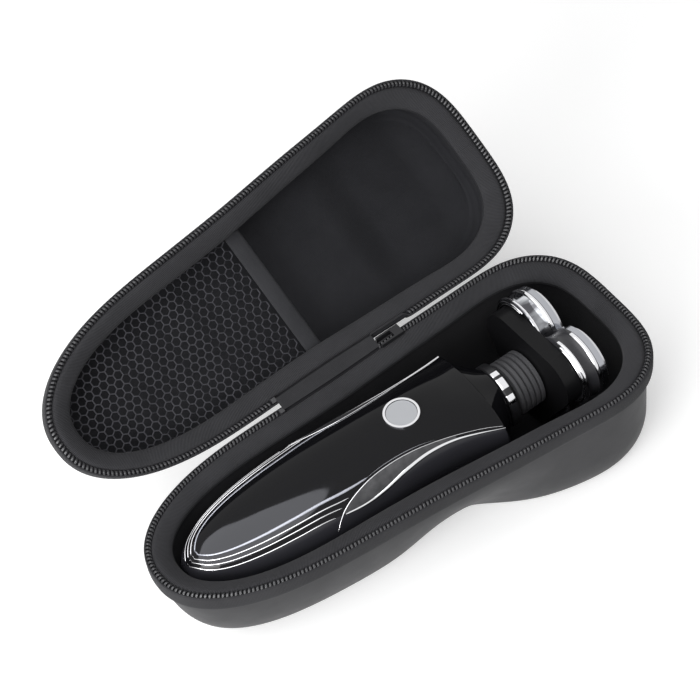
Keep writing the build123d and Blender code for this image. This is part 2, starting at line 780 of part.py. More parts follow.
pivot_x = neck_end + seam + collar_length / 2
shaft_back = motor_x + motor_length / 2 - shaft_grip + seam
drive_plane = Plane(origin=(pivot_x, 0, rim_z + drive_height), x_dir=(0, 1, 0), z_dir=(1, 0, 0))
with BuildPart() as motor_shaft:
    with BuildSketch(drive_plane.offset(shaft_back - pivot_x)):
        Circle(shaft_radius)
    extrude(amount=pivot_x + cup_start - shaft_back)
    with BuildSketch(drive_plane.offset(cup_start)):
        Circle(cup_radius)
    extrude(amount=cup_end - cup_start)
    with BuildSketch(drive_plane.offset(-cup_bore)):
        Circle(cup_bore)
    extrude(amount=cup_end + cup_bore, mode=Mode.SUBTRACT)
save(motor_shaft, "motor_shaft")

# ---- floating head, along its own axis
turn = radians(head_turn)
head_axis = (cos(turn), sin(turn), 0)
head_across = (-sin(turn), cos(turn), 0)
stem_plane = Plane(origin=(pivot_x, 0, neck_z), x_dir=head_across, z_dir=head_axis)
head_plane = Plane(origin=(pivot_x, 0, rim_z + drive_height), x_dir=head_across, z_dir=head_axis)
lobes = [(lobe_offset * cos(radians(angle)), lobe_offset * sin(radians(angle))) for angle in lobe_angles]
bellows_end = bellows_start + bellows_length
base_start = bellows_end + seam
frame_start = base_start + base_length + seam
holder_start = frame_start + frame_length + seam
holder_end = holder_start + holder_length
cap_face = holder_end + cap_proud
cap_back = holder_start - cap_clearance - cap_flange
cutter_face = cap_face - cap_wall - cutter_clearance
gear_back = base_start + base_floor + cap_travel + 2 * seam


def hull_face(plane, radius):
    """A rounded triangle round the centres of the three lobes."""
    corners = []
    for angle in lobe_angles:
        middle = (lobe_offset * cos(radians(angle)), lobe_offset * sin(radians(angle)))
        ends = []
        for swing_angle in (angle - 60, angle, angle + 60):
            ends.append((middle[0] + radius * cos(radians(swing_angle)),
                         middle[1] + radius * sin(radians(swing_angle))))
        corners.append(ends)
    with BuildSketch(plane) as area:
        with BuildLine():
            for index, ends in enumerate(corners):
                ThreePointArc(*ends)
                Line(ends[2], corners[(index + 1) % len(corners)][0])
        make_face()
    return area.sketch


def clover_face(plane, radius, bridge):
    """Three round lobes and the web that joins them."""
    with BuildSketch(plane) as area:
        with Locations(*lobes):
            Circle(radius)
        Circle(bridge)
    return area.sketch


def gear_face(plane, teeth):
    """A gear's plan: straight sided teeth, thin enough to run free."""
    pitch_radius = gear_module * teeth / 2
    root = pitch_radius - 1.1 * gear_module
    tip = pitch_radius + 0.8 * gear_module
    with BuildSketch(plane) as area:
        Circle(root)
        for index in range(teeth):
            with BuildLine(Plane.XY.rotated((0, 0, 360 * index / teeth)), mode=Mode.PRIVATE) as tooth:
                Polyline((root - 0.3, -0.8), (tip, -0.3), (tip, 0.3), (root - 0.3, 0.8), (root - 0.3, -0.8))
            make_face(tooth.edges())
    return area.sketch


with BuildPart() as stem:
    ball_end = sqrt(ball_radius ** 2 - ball_half_length ** 2)
    with BuildSketch(Plane(origin=stem_plane.origin, x_dir=stem_plane.x_dir, z_dir=-stem_plane.y_dir)):
        with BuildLine():
            ThreePointArc((ball_end, -ball_half_length), (ball_radius, 0), (ball_end, ball_half_length))
            Polyline((ball_end, ball_half_length), (stem_radius, ball_half_length),
                     (stem_radius, bellows_end), (stem_bore, bellows_end),
                     (stem_bore, -ball_half_length), (ball_end, -ball_half_length))
        make_face()
    revolve(axis=Axis(stem_plane.origin, stem_plane.z_dir))
save(stem, "head_stem")

with BuildPart() as bellows:
    rib_pitch = bellows_length / bellows_ribs
    outline = [(bellows_radius - bellows_rib, bellows_start)]
    for index in range(bellows_ribs):
        foot = bellows_start + rib_pitch * index
        outline += [(bellows_radius, foot + rib_pitch * 0.25), (bellows_radius, foot + rib_pitch * 0.75),
                    (bellows_radius - bellows_rib, foot + rib_pitch)]
    outline += [(bellows_bore, bellows_end), (bellows_bore, bellows_start), outline[0]]
    with BuildSketch(Plane(origin=stem_plane.origin, x_dir=stem_plane.x_dir, z_dir=-stem_plane.y_dir)):
        with BuildLine():
            Polyline(*outline)
        make_face()
    revolve(axis=Axis(stem_plane.origin, stem_plane.z_dir))
save(bellows, "head_bellows")

with BuildPart() as head_base:
    extrude(hull_face(head_plane.offset(base_start), base_lobe_radius), amount=base_length)
    extrude(hull_face(head_plane.offset(base_start + base_floor), base_lobe_radius - base_wall),
            amount=base_length, mode=Mode.SUBTRACT)
    with BuildSketch(head_plane.offset(base_start)):
        Circle(shaft_radius + bearing_clearance)
    extrude(amount=base_floor, mode=Mode.SUBTRACT)
save(head_base, "head_base")

with BuildPart() as head_frame:
    extrude(clover_face(head_plane.offset(frame_start), lobe_radius, lobe_bridge), amount=frame_length)
    extrude(clover_face(head_plane.offset(frame_start + frame_floor), lobe_radius - frame_wall,
                        lobe_bridge - frame_wall), amount=frame_length, mode=Mode.SUBTRACT)
    with BuildSketch(head_plane.offset(frame_start)):
        with Locations(*lobes):
            Circle(shaft_radius + bearing_clearance)
    extrude(amount=frame_floor, mode=Mode.SUBTRACT)
save(head_frame, "head_frame")

with BuildPart() as holder:
    extrude(clover_face(head_plane.offset(holder_start), lobe_radius - holder_inset, lobe_bridge),
            amount=holder_length)
    with BuildSketch(head_plane.offset(holder_start)):
        with Locations(*lobes):
            Circle(cap_radius + cap_clearance)
    extrude(amount=holder_length, mode=Mode.SUBTRACT)
save(holder, "shaving_holder")

with BuildPart() as drive_gear:
    with BuildSketch(head_plane):
        Circle(shaft_radius)
    extrude(amount=gear_back + gear_thickness)
    extrude(gear_face(head_plane.offset(gear_back - cap_travel), drive_teeth),
            amount=gear_thickness + cap_travel)
    with Locations(head_plane):
        Sphere(shaft_ball_radius)
save(drive_gear, "drive_gear")

for name, place in zip(("left", "right", "lower"), lobes):
    lobe_plane = Plane(origin=head_plane.from_local_coords((place[0], place[1], 0)),
                       x_dir=head_plane.x_dir, z_dir=head_plane.z_dir)
    with BuildPart() as cap:
        with BuildSketch(lobe_plane.offset(cap_back)):
            Circle(cap_radius)
        extrude(amount=cap_face - cap_back)
        with BuildSketch(lobe_plane.offset(cap_back)):
            Circle(cap_flange_radius)
        extrude(amount=cap_flange)
        with BuildSketch(lobe_plane.offset(cap_back)):
            Circle(cap_radius - cap_wall)
        extrude(amount=cap_face - cap_wall - cap_back, mode=Mode.SUBTRACT)
        with BuildSketch(lobe_plane.offset(cap_face)):
            with PolarLocations((cap_slot_start + cap_slot_end) / 2, cap_slots):
                Rectangle(cap_slot_end - cap_slot_start, cap_slot_width)
        extrude(amount=-2 * cap_wall, mode=Mode.SUBTRACT)
    save(cap, f"cap_{name}")

    with BuildPart() as cutter:
        with BuildSketch(lobe_plane.offset(cutter_face - blade_height - cutter_thickness)):
            Circle(cutter_radius)
        extrude(amount=cutter_thickness)
        with BuildSketch(lobe_plane.offset(cutter_face - blade_height)):
            with PolarLocations((cap_slot_start + cutter_radius) / 2, blade_count):
                Rectangle(cutter_radius - cap_slot_start - 0.2, blade_width)
        extrude(amount=blade_height)
        with BuildSketch(lobe_plane.offset(gear_back)):
            Circle(shaft_radius)
        extrude(amount=cutter_face - blade_height - gear_back)
        extrude(gear_face(lobe_plane.offset(gear_back), spindle_teeth), amount=gear_thickness)
    save(cutter, f"cutter_{name}")
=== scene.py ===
import json
import math
import bpy
import numpy as np
from mathutils import Matrix, Vector

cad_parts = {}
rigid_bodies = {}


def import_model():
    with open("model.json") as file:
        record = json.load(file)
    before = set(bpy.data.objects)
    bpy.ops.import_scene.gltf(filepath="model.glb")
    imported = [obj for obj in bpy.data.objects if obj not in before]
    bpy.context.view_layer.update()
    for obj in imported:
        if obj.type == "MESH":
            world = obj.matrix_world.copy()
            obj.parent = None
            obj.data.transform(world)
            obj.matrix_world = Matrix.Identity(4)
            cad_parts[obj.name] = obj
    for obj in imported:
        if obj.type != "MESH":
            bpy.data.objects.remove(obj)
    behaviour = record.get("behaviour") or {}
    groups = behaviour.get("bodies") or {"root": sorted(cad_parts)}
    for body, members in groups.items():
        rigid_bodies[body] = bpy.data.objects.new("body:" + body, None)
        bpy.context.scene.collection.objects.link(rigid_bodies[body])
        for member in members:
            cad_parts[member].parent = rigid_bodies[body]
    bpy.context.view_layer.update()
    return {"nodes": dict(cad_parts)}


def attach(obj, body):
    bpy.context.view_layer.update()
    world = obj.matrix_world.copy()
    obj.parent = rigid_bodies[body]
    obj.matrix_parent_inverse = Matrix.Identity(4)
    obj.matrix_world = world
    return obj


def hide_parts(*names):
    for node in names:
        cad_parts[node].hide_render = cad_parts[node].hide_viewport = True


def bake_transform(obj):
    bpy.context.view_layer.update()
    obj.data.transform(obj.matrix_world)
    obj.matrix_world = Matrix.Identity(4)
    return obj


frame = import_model()

# A zipped hard case that stands open, with an electric shaver lying in its tray.
# Lengths in this script are millimetres until a mesh is made. Many names are those of the part's source;
# net_depth, net_pitch, cover_edge and stripe_ends have other values there.
# The camera, the hinge and the case's outline were fitted to the photograph by least squares, and the lines
# on the shaver follow places in it, listed one by one.
MM = 0.001

# ---- case dimensions
half_length = 104.0
tail_half_width, head_half_width = 40.64, 50.35
shoulder_at, shoulder_span = 0.69, 0.102
waist_draw, waist_at, waist_span = 5.13, -0.205, 0.512
tail_roundness, head_roundness = 2.28, 3.48
tray_depth, lid_depth = 52.0, 26.0
tail_corner, head_corner, lid_corner = (38.5, 47.5), (9.75, 18.5), (12.0, 15.0)
corner_share = 0.93
grip_pinch, grip_at, grip_span, grip_start_depth = 13.0, 0.124, 0.249, 10.0
shell_step = 1.4
cavity_wall = 4.8
lid_floor_depth = 17.0
recess = (44.0, 92.0, 58.0, 14.0)          # start, end, width, corner radius
recess_floor_depth = 20.9
net_depth, net_edge, net_pitch = 7.9, 6.2, 3.45
net_thread_radius = 0.25
net_belly, belly_run = 1.3, 30.0           # how far the net sags, and over how long it comes to that
belly_tail, belly_past_mouth = 98.0, 8.0
pocket_mouth, pocket_edge_width, elastic_thickness = -3.4, 6.8, 0.2
hinge_y, hinge_turn, lid_angle = 37.82, 3.54, 142.31
hinge_strip = (-27.0, 19.0)
ring_inset = 4.0                           # where the outline is walked to space its points evenly
floor_inset, floor_fillet = 7.0, 3.0
slider_zone, slider_relief = (19.0, 36.6), 2.3
tooth_pitch, tooth_middle, tooth_lean = 1.5, 0.95, 0.22
tooth_wire_radius = 0.27

# ---- shaver dimensions
widest_drop, body_roundness = 14.0, 2.4
neck_drop = 18.0
body_stations = (
    (-93.6, 0.8, -13.2, -14.8),
    (-93.0, 4.5, -9.0, -19.0),
    (-90.0, 8.2, -4.5, -24.0),
    (-84.0, 12.3, -0.8, -28.0),
    (-74.0, 16.8, 2.0, -32.0),
    (-60.0, 20.2, 3.8, -35.5),
    (-40.0, 22.3, 5.0, -38.0),
    (-15.0, 21.8, 5.6, -40.5),
    (5.0, 21.0, 5.6, -41.5),
    (22.0, 22.0, 3.6, -42.5),
    (36.0, 24.5, -0.3, -40.0),
)
cover_edge = (
    (-91.5, 0.0), (-90.6, 2.6), (-86.5, 7.8), (-78.0, 12.6), (-67.0, 15.7), (-54.0, 17.6), (-40.0, 18.8),
    (-33.0, 19.6), (-25.0, 19.9), (-16.0, 19.3), (-6.0, 17.9), (5.0, 17.0), (16.0, 17.6), (27.0, 19.6),
    (33.0, 21.0), (36.0, 21.7),
)
trim_places = (-34.3, -33.0, -26.0, -16.0, -5.0, 5.0, 15.0, 27.0, 36.0)
trim_widths = (0.5, 0.9, 1.25, 1.7, 1.9, 1.6, 1.2, 0.8, 0.25)
leaf_line = (
    (-39.3, 21.4), (-33.8, 18.6), (-27.0, 16.4), (-20.0, 14.9), (-10.0, 14.1), (-1.0, 14.3), (8.0, 15.2),
    (16.0, 16.4), (23.0, 17.7), (30.0, 19.3), (35.2, 20.9),
)
leaf_widths = (0.35, 0.5, 0.55, 0.5, 0.45, 0.4, 0.35, 0.35, 0.3, 0.3, 0.25)
shadow_line = ((-23.0, 14.5), (-18.0, 13.7), (-10.0, 13.2), (-2.0, 13.4), (5.0, 14.1), (9.0, 14.8))
stripe_steps = (0.0, 0.30, 0.60, 1.0)      # the lines round the tail, as shares of the way inwards
stripe_ends = (-38.3, -34.6, -30.6, -20.6)
stripe_widths = ((0.5, 0.6, 0.5), (0.5, 0.6, 0.5), (0.5, 0.65, 0.5), (0.6, 1.3, 0.7))   # tip, middle, end
tip_shift, line_narrowing = 4.3, 0.29
neck_end, seam = 45.2, 0.1
collar_length, collar_radius, collar_shoulder, collar_bore = 4.0, 13.4, 12.8, 9.1
head_turn, head_rise = math.radians(2.5), 1.5
frame_start = 22.4                         # along the head's axis, from the point it swings about
lobe_offset, lobe_radius = 15.0, 14.7
clip_stand, clip_radius = 0.25, 0.3
collar_plates = ((84, 94), (99, 121), (131, 149))      # degrees round the collar that are bright metal
# The notch below is painted dark, a painted reflection.
notch = (86, 114)                          # degrees round the head between its upper lobes
# Where the head frame gets painted reflections: the far lobe's start in degrees, its waist rows and its edge
# rows.
far_lobe_start, waist_rows, far_edge_rows = 330, (0, 7, 8, 9), 4


# ---- materials
def material(name, color, roughness, metallic=0.0, coat=0.0, sheen=0.0, specular=0.5):
    made = bpy.data.materials.new(name)
    made.use_nodes = True
    shader = made.node_tree.nodes["Principled BSDF"]
    shader.inputs["Base Color"].default_value = (*color, 1)
    shader.inputs["Roughness"].default_value = roughness
    shader.inputs["Metallic"].default_value = metallic
    shader.inputs["Coat Weight"].default_value = coat
    shader.inputs["Sheen Weight"].default_value = sheen
    shader.inputs["Specular IOR Level"].default_value = specular
    return made


def coordinates(made, source, stretch=(1, 1, 1), turn=0.0):
    """A coordinate from the object's own axes or the mesh's UV, stretched and turned."""
    tree = made.node_tree
    where = tree.nodes.new("ShaderNodeTexCoord")
    mapping = tree.nodes.new("ShaderNodeMapping")
    mapping.inputs["Scale"].default_value = stretch
    mapping.inputs["Rotation"].default_value = (0, 0, turn)
    tree.links.new(where.outputs[source], mapping.inputs["Vector"])
    return mapping.outputs["Vector"]


def noise(made, vector, scale, detail=4.0, roughness=0.5):
    node = made.node_tree.nodes.new("ShaderNodeTexNoise")
    node.inputs["Scale"].default_value = scale
    node.inputs["Detail"].default_value = detail
    node.inputs["Roughness"].default_value = roughness
    made.node_tree.links.new(vector, node.inputs["Vector"])
    return node.outputs["Fac"]


def ribs(made, vector, pitch, direction="X", distortion=0.0):
    """Parallel ribs whose pitch is in millimetres."""
    node = made.node_tree.nodes.new("ShaderNodeTexWave")
    node.bands_direction = direction
    node.inputs["Scale"].default_value = 2 * math.pi / (20 * pitch * MM)
    node.inputs["Distortion"].default_value = distortion
    node.inputs["Detail"].default_value = 2
    node.inputs["Detail Scale"].default_value = 2
    made.node_tree.links.new(vector, node.inputs["Vector"])
    return node.outputs["Fac"]


def combine(made, kind, first, second):
    node = made.node_tree.nodes.new("ShaderNodeMath")
    node.operation = kind
    for place, value in enumerate((first, second)):
        if isinstance(value, (int, float)):
            node.inputs[place].default_value = value
        else:
            made.node_tree.links.new(value, node.inputs[place])
    return node.outputs[0]


def weighted(made, first, first_share, second, second_share):
    """The sum of two values, each multiplied by its share."""
    return combine(made, "ADD", combine(made, "MULTIPLY", first, first_share),
                   combine(made, "MULTIPLY", second, second_share))


def weave(made, vector, pitch):
    """Two sets of ribs that cross, for cloth."""
    return combine(made, "MULTIPLY", ribs(made, vector, pitch, "X", 0.6), ribs(made, vector, pitch, "Y", 0.6))


def bump(made, height, strength, distance):
    tree = made.node_tree
    node = tree.nodes.new("ShaderNodeBump")
    node.inputs["Strength"].default_value = strength
    node.inputs["Distance"].default_value = distance * MM
    tree.links.new(height, node.inputs["Height"])
    shader = tree.nodes["Principled BSDF"]
    if shader.inputs["Normal"].links:
        tree.links.new(shader.inputs["Normal"].links[0].from_socket, node.inputs["Normal"])
    tree.links.new(node.outputs["Normal"], shader.inputs["Normal"])


def ramp(made, socket, value, stops):
    """Feeds a shader socket from a value through colour stops, given as (place, grey or colour)."""
    tree = made.node_tree
    node = tree.nodes.new("ShaderNodeValToRGB")
    band = node.color_ramp
    while len(band.elements) < len(stops):
        band.elements.new(0.5)
    for element, (place, color) in zip(band.elements, stops):
        element.position = place
        element.color = (color, color, color, 1) if isinstance(color, float) else (*color, 1)
    tree.links.new(value, node.inputs["Fac"])
    tree.links.new(node.outputs["Color"], tree.nodes["Principled BSDF"].inputs[socket])


def cloth(name, dark, light, pitch, roughness=0.85, strength=0.5, sheen=0.04):
    """Woven or knitted cloth with fine threads, uneven dye and a soft nap."""
    made = material(name, dark, roughness, sheen=sheen, specular=0.12)
    local = coordinates(made, "Object")
    threads = weave(made, coordinates(made, "UV"), pitch)
    cloudy = noise(made, local, 60.0, 5.0, 0.6)
    ramp(made, "Base Color", weighted(made, threads, 0.45, cloudy, 0.6), ((0.25, dark), (0.75, light)))
    bump(made, threads, strength, 0.12)
    bump(made, noise(made, local, 900.0, 3.0), 0.25, 0.15)
    return made


shell_skin = material("shell_skin", (0.03, 0.03, 0.032), 0.5, specular=0.25)
shell_local = coordinates(shell_skin, "Object")
ramp(shell_skin, "Base Color", noise(shell_skin, shell_local, 45.0, 6.0, 0.6),
     ((0.3, (0.021, 0.021, 0.023)), (0.7, (0.030, 0.030, 0.0325))))
ramp(shell_skin, "Roughness", noise(shell_skin, shell_local, 120.0, 4.0), ((0.3, 0.48), (0.7, 0.54)))
bump(shell_skin, noise(shell_skin, shell_local, 2200.0, 2.0), 0.3, 0.06)
bump(shell_skin, weave(shell_skin, coordinates(shell_skin, "UV", turn=0.785), 0.5), 0.18, 0.05)

lining = cloth("lining", (0.0115, 0.0115, 0.013), (0.020, 0.020, 0.0225), 0.45, 0.9, 0.4)
lid_lining = cloth("lid_lining", (0.013, 0.0132, 0.0152), (0.021, 0.0212, 0.024), 0.45, 0.9, 0.4)
band_cloth = cloth("band_cloth", (0.022, 0.022, 0.024), (0.038, 0.038, 0.041), 0.5, 0.8, 0.6)
elastic_cloth = cloth("elastic_cloth", (0.024, 0.0243, 0.027), (0.037, 0.0373, 0.041), 0.4, 0.85, 0.6)
net_thread = cloth("net_thread", (0.040, 0.040, 0.046), (0.062, 0.062, 0.070), 0.4, 0.85, 0.5)

ribbed = material("ribbed_binding", (0.03, 0.03, 0.033), 0.8, sheen=0.05, specular=0.12)
ribbed_uv = coordinates(ribbed, "UV")
crosswise = ribs(ribbed, ribbed_uv, 0.62, "X", 0.35)
ribbed_dye = noise(ribbed, coordinates(ribbed, "Object"), 90.0)
ramp(ribbed, "Base Color", weighted(ribbed, crosswise, 0.6, ribbed_dye, 0.5),
     ((0.2, (0.019, 0.019, 0.021)), (0.8, (0.038, 0.038, 0.0415))))
bump(ribbed, crosswise, 0.75, 0.16)
bump(ribbed, noise(ribbed, coordinates(ribbed, "Object"), 1500.0), 0.2, 0.1)

coil = material("zipper_coil", (0.030, 0.030, 0.033), 0.3, specular=0.6)
ramp(coil, "Roughness", noise(coil, coordinates(coil, "Object"), 900.0), ((0.3, 0.24), (0.7, 0.42)))

black_paint = material("black_paint", (0.018, 0.018, 0.02), 0.38, metallic=0.4)
bump(black_paint, noise(black_paint, coordinates(black_paint, "Object"), 1200.0), 0.12, 0.05)

gloss = material("gloss_black", (0.005, 0.005, 0.006), 0.05, specular=0.17)
ramp(gloss, "Roughness", noise(gloss, coordinates(gloss, "Object"), 300.0, 6.0, 0.7),
     ((0.35, 0.04), (0.75, 0.09)))

housing = material("housing_black", (0.020, 0.020, 0.024), 0.24, specular=0.35)
bump(housing, noise(housing, coordinates(housing, "Object"), 2500.0), 0.1, 0.03)

satin = material("satin_black", (0.013, 0.013, 0.0145), 0.34, specular=0.4)
bump(satin, noise(satin, coordinates(satin, "Object"), 2500.0), 0.12, 0.04)

deep_black = material("deep_black", (0.004, 0.004, 0.0045), 0.4, specular=0.15)
bump(deep_black, noise(deep_black, coordinates(deep_black, "Object"), 2000.0), 0.12, 0.04)

rubber = material("bellows_rubber", (0.056, 0.056, 0.060), 0.5, specular=0.35)
bump(rubber, noise(rubber, coordinates(rubber, "Object"), 1800.0), 0.2, 0.05)

chrome = material("chrome", (0.83, 0.83, 0.85), 0.09, metallic=1.0)
ramp(chrome, "Roughness", noise(chrome, coordinates(chrome, "Object"), 500.0), ((0.3, 0.06), (0.7, 0.13)))

# Chrome with painted reflections: its colour runs in patches from near black to near white, put on the head's
# far lobe.
painted_reflection_chrome = material("chrome_painted_reflections", (0.5, 0.51, 0.53), 0.12, metallic=1.0)
painted_reflection_place = coordinates(painted_reflection_chrome, "Object", (0.5, 1.6, 1.0), 0.5)
ramp(painted_reflection_chrome, "Base Color", noise(painted_reflection_chrome, painted_reflection_place, 95.0, 3.0, 0.55),
     ((0.36, (0.10, 0.10, 0.11)), (0.5, (0.36, 0.37, 0.39)), (0.66, (0.74, 0.75, 0.78))))

smoked = material("smoked_metal", (0.42, 0.43, 0.46), 0.16, metallic=1.0)
ramp(smoked, "Roughness", noise(smoked, coordinates(smoked, "Object"), 400.0), ((0.3, 0.12), (0.7, 0.22)))

panel = material("grip_panel", (0.06, 0.06, 0.063), 0.42, metallic=0.5)
panel_local = coordinates(panel, "Object", turn=0.6)
bump(panel, weave(panel, panel_local, 0.55), 0.5, 0.08)
ramp(panel, "Base Color", noise(panel, panel_local, 300.0),
     ((0.3, (0.042, 0.042, 0.045)), (0.7, (0.08, 0.08, 0.084))))

stripe_metal = material("stripe_metal", (0.40, 0.41, 0.46), 0.36, metallic=0.8)
ramp(stripe_metal, "Roughness", noise(stripe_metal, coordinates(stripe_metal, "Object"), 600.0),
     ((0.3, 0.24), (0.7, 0.4)))

steel = material("steel", (0.60, 0.60, 0.62), 0.24, metallic=1.0)
steel_local = coordinates(steel, "Object", (1, 1, 12))
ramp(steel, "Roughness", noise(steel, steel_local, 700.0), ((0.3, 0.18), (0.7, 0.34)))

disc = material("brushed_disc", (0.42, 0.43, 0.45), 0.36, metallic=0.85)
disc_uv = coordinates(disc, "UV", (1, 260, 1))
ramp(disc, "Roughness", noise(disc, disc_uv, 6.0, 3.0), ((0.3, 0.30), (0.7, 0.46)))
bump(disc, noise(disc, disc_uv, 6.0, 3.0), 0.12, 0.03)

# The holder's dark grey, which also paints the notch between the head's upper lobes dark as a painted
# reflection.
holder_grey = material("holder_grey", (0.022, 0.022, 0.025), 0.36, specular=0.4)
bump(holder_grey, noise(holder_grey, coordinates(holder_grey, "Object"), 1500.0), 0.1, 0.04)


def plain(name, color, roughness, metallic=0.0):
    """A moulded or painted inner piece, with a fine grain."""
    made = material(name, color, roughness, metallic=metallic)
    local = coordinates(made, "Object")
    lighter = tuple(min(1.0, c * 1.25) for c in color)
    ramp(made, "Base Color", noise(made, local, 250.0), ((0.3, color), (0.7, lighter)))
    bump(made, noise(made, local, 1500.0), 0.15, 0.05)
    return made


inner_plastic = plain("inner_plastic", (0.26, 0.26, 0.28), 0.5)
sleeve = plain("battery_sleeve", (0.07, 0.20, 0.09), 0.4)
can = plain("motor_can", (0.45, 0.45, 0.47), 0.3, 1.0)
board_green = plain("board_green", (0.02, 0.15, 0.06), 0.4)
gear_white = plain("gear_plastic", (0.62, 0.62, 0.60), 0.45)


# ---- meshes
def make_mesh(name, points, faces, surface, uvs=None, smooth=True):
    mesh = bpy.data.meshes.new(name)
    mesh.from_pydata([tuple(c * MM for c in point) for point in points], [], faces)
    if uvs is not None:
        layer = mesh.uv_layers.new(name="UVMap")
        loop_uvs = np.array([uvs[vertex] for face in faces for vertex in face], float).ravel() * MM
        layer.data.foreach_set("uv", loop_uvs)
    mesh.polygons.foreach_set("use_smooth", [smooth] * len(mesh.polygons))
    mesh.materials.append(surface)
    mesh.validate()
    mesh.update()
    made = bpy.data.objects.new(name, mesh)
    bpy.context.scene.collection.objects.link(made)
    return made


def grid_mesh(name, rows, surface, closed=True, uvs=None, smooth=True):
    """A surface through rows of points, each row as long as the next. Closed rows join end to end."""
    rows = np.asarray(rows, float)
    count, length = rows.shape[:2]
    if closed:
        rows = np.concatenate((rows, rows[:, :1]), axis=1)
        length += 1
    points = rows.reshape(-1, 3)
    faces = []
    for row in range(count - 1):
        for column in range(length - 1):
            corner = row * length + column
            faces.append((corner, corner + 1, corner + length + 1, corner + length))
    if uvs is None:
        along = np.concatenate(([0], np.cumsum(np.linalg.norm(np.diff(rows[0], axis=0), axis=1))))
        down = np.concatenate(([0], np.cumsum(np.linalg.norm(np.diff(rows, axis=0), axis=2).mean(axis=1))))
        uvs = np.stack(np.meshgrid(along, down), axis=-1).reshape(-1, 2)
    return make_mesh(name, points, faces, surface, uvs, smooth)


def finish_piece(made, body, *nodes, slot=None):
    """Puts a piece on its body, in place of the CAD nodes that it dresses."""
    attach(made, body)
    if nodes:
        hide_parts(*nodes)
    return made


def sigmoid(value):
    return 1 / (1 + np.exp(-value))


def half_width(u, tail_inset, head_inset, pinch):
    """Half the case's width at u, which runs from -1 at the tail to 1 at the head."""
    width = tail_half_width + (head_half_width - tail_half_width) * sigmoid((u - shoulder_at) / shoulder_span)
    width = width - waist_draw * np.exp(-(((u - waist_at) / waist_span) ** 2))
    width = width - (tail_inset + (head_inset - tail_inset) * sigmoid(u / 0.25))
    width = width - pinch * np.exp(-(((u - grip_at) / grip_span) ** 2))
    power = tail_roundness + (head_roundness - tail_roundness) * sigmoid(u / 0.08)
    return width * np.maximum(0.0, 1 - np.abs(u) ** power) ** (1 / power)


def outline(angles, tail_inset, head_inset, pinch=0.0):
    """Plan points of the case's outline, drawn in by its insets and pinched at the grip."""
    across, along = np.sin(angles), np.cos(angles)
    reach = np.where(along > 0, half_length - head_inset, half_length - tail_inset)
    width = half_width(along, tail_inset, head_inset, pinch)
    return np.stack((reach * along, np.sign(across) * width), axis=-1)


def even_angles(count):
    """Angles at which the outline's points lie evenly spaced, and the outline's length."""
    dense = np.linspace(0, 2 * math.pi, 60001)
    line = outline(dense, ring_inset, ring_inset)
    walked = np.concatenate(([0], np.cumsum(np.linalg.norm(np.diff(line, axis=0), axis=1))))
    return np.interp(np.linspace(0, walked[-1], count, endpoint=False), walked, dense), walked[-1]


ring_angles, ring_length = even_angles(840)
hinge_point = np.array([0.0, hinge_y, tray_depth])
hinge_line = np.array([math.cos(math.radians(hinge_turn)), math.sin(math.radians(hinge_turn)), 0.0])


def turned(points, degrees):
    """Points turned about the hinge line."""
    angle = math.radians(degrees)
    points = np.asarray(points, float) - hinge_point
    along = np.tensordot(points, hinge_line, axes=(-1, 0))[..., None] * hinge_line
    swung = along + (points - along) * math.cos(angle) + np.cross(hinge_line, points) * math.sin(angle)
    return swung + hinge_point


def place(half, plan, depth):
    """Plan points at a depth below a half's rim, in the row frame."""
    plan = np.asarray(plan, float)
    side = -1 if half == "tray" else 1
    height = np.broadcast_to(np.asarray(tray_depth + side * np.asarray(depth, float)), plan.shape[:-1])
    points = np.concatenate((plan, height[..., None]), axis=-1)
    return points if half == "tray" else turned(points, -lid_angle)


def rounding(depth, floor, corner):
    """How far a bowl's side is drawn in at a depth by the rounded edge of its floor."""
    run, rise = corner
    share = max(0.0, (depth - floor + rise) / rise) * corner_share
    return run * (1 - math.sqrt(1 - share ** 2))


def skin_rows(half, first_depth, wall, count=34):
    """Rings of a bowl's side from first_depth down to its floor, wall mm inside its outer skin."""
    total = tray_depth if half == "tray" else lid_depth
    floor = total - wall
    rows = []
    for share in np.linspace(0, 1, count) ** 0.8:
        depth = first_depth + (floor - first_depth) * share
        corners = (tail_corner, head_corner) if half == "tray" else (lid_corner, lid_corner)
        tail, head = [0.1 + shell_step + wall + rounding(depth + wall, total, corner) for corner in corners]
        draw = max(0.0, (depth - grip_start_depth) / (total - grip_start_depth))
        pinch = grip_pinch * draw ** 2 * (3 - 2 * draw) if half == "tray" else 0.0
        rows.append(place(half, outline(ring_angles, tail, head, pinch), depth))
    return rows


def floor_rows(half, ring, count=10):
    """Rings that close a bowl's floor by drawing its last ring in to the middle line."""
    flat = np.array(ring)
    if half == "lid":
        flat = turned(flat, lid_angle)
    rows = []
    for share in np.linspace(1, 0, count)[1:]:
        drawn = flat * np.array([1, share, 1])
        rows.append(turned(drawn, -lid_angle) if half == "lid" else drawn)
    return rows


def slider_window(angles):
    """1 where the slider runs beside the hinge, and 0 elsewhere on the rim."""
    x = half_length * np.cos(angles)
    return sigmoid((x - slider_zone[0]) / 0.25) * sigmoid((slider_zone[1] - x) / 0.25) * (np.sin(angles) > 0)


def profile_rows(half, profile, relief=0.0):
    """Rings from (inset, depth) pairs, set back by relief where the slider runs."""
    rows = []
    for inset, depth in profile:
        set_back = inset + relief * slider_window(ring_angles)
        rows.append(place(half, outline(ring_angles, set_back, set_back), depth))
    return rows


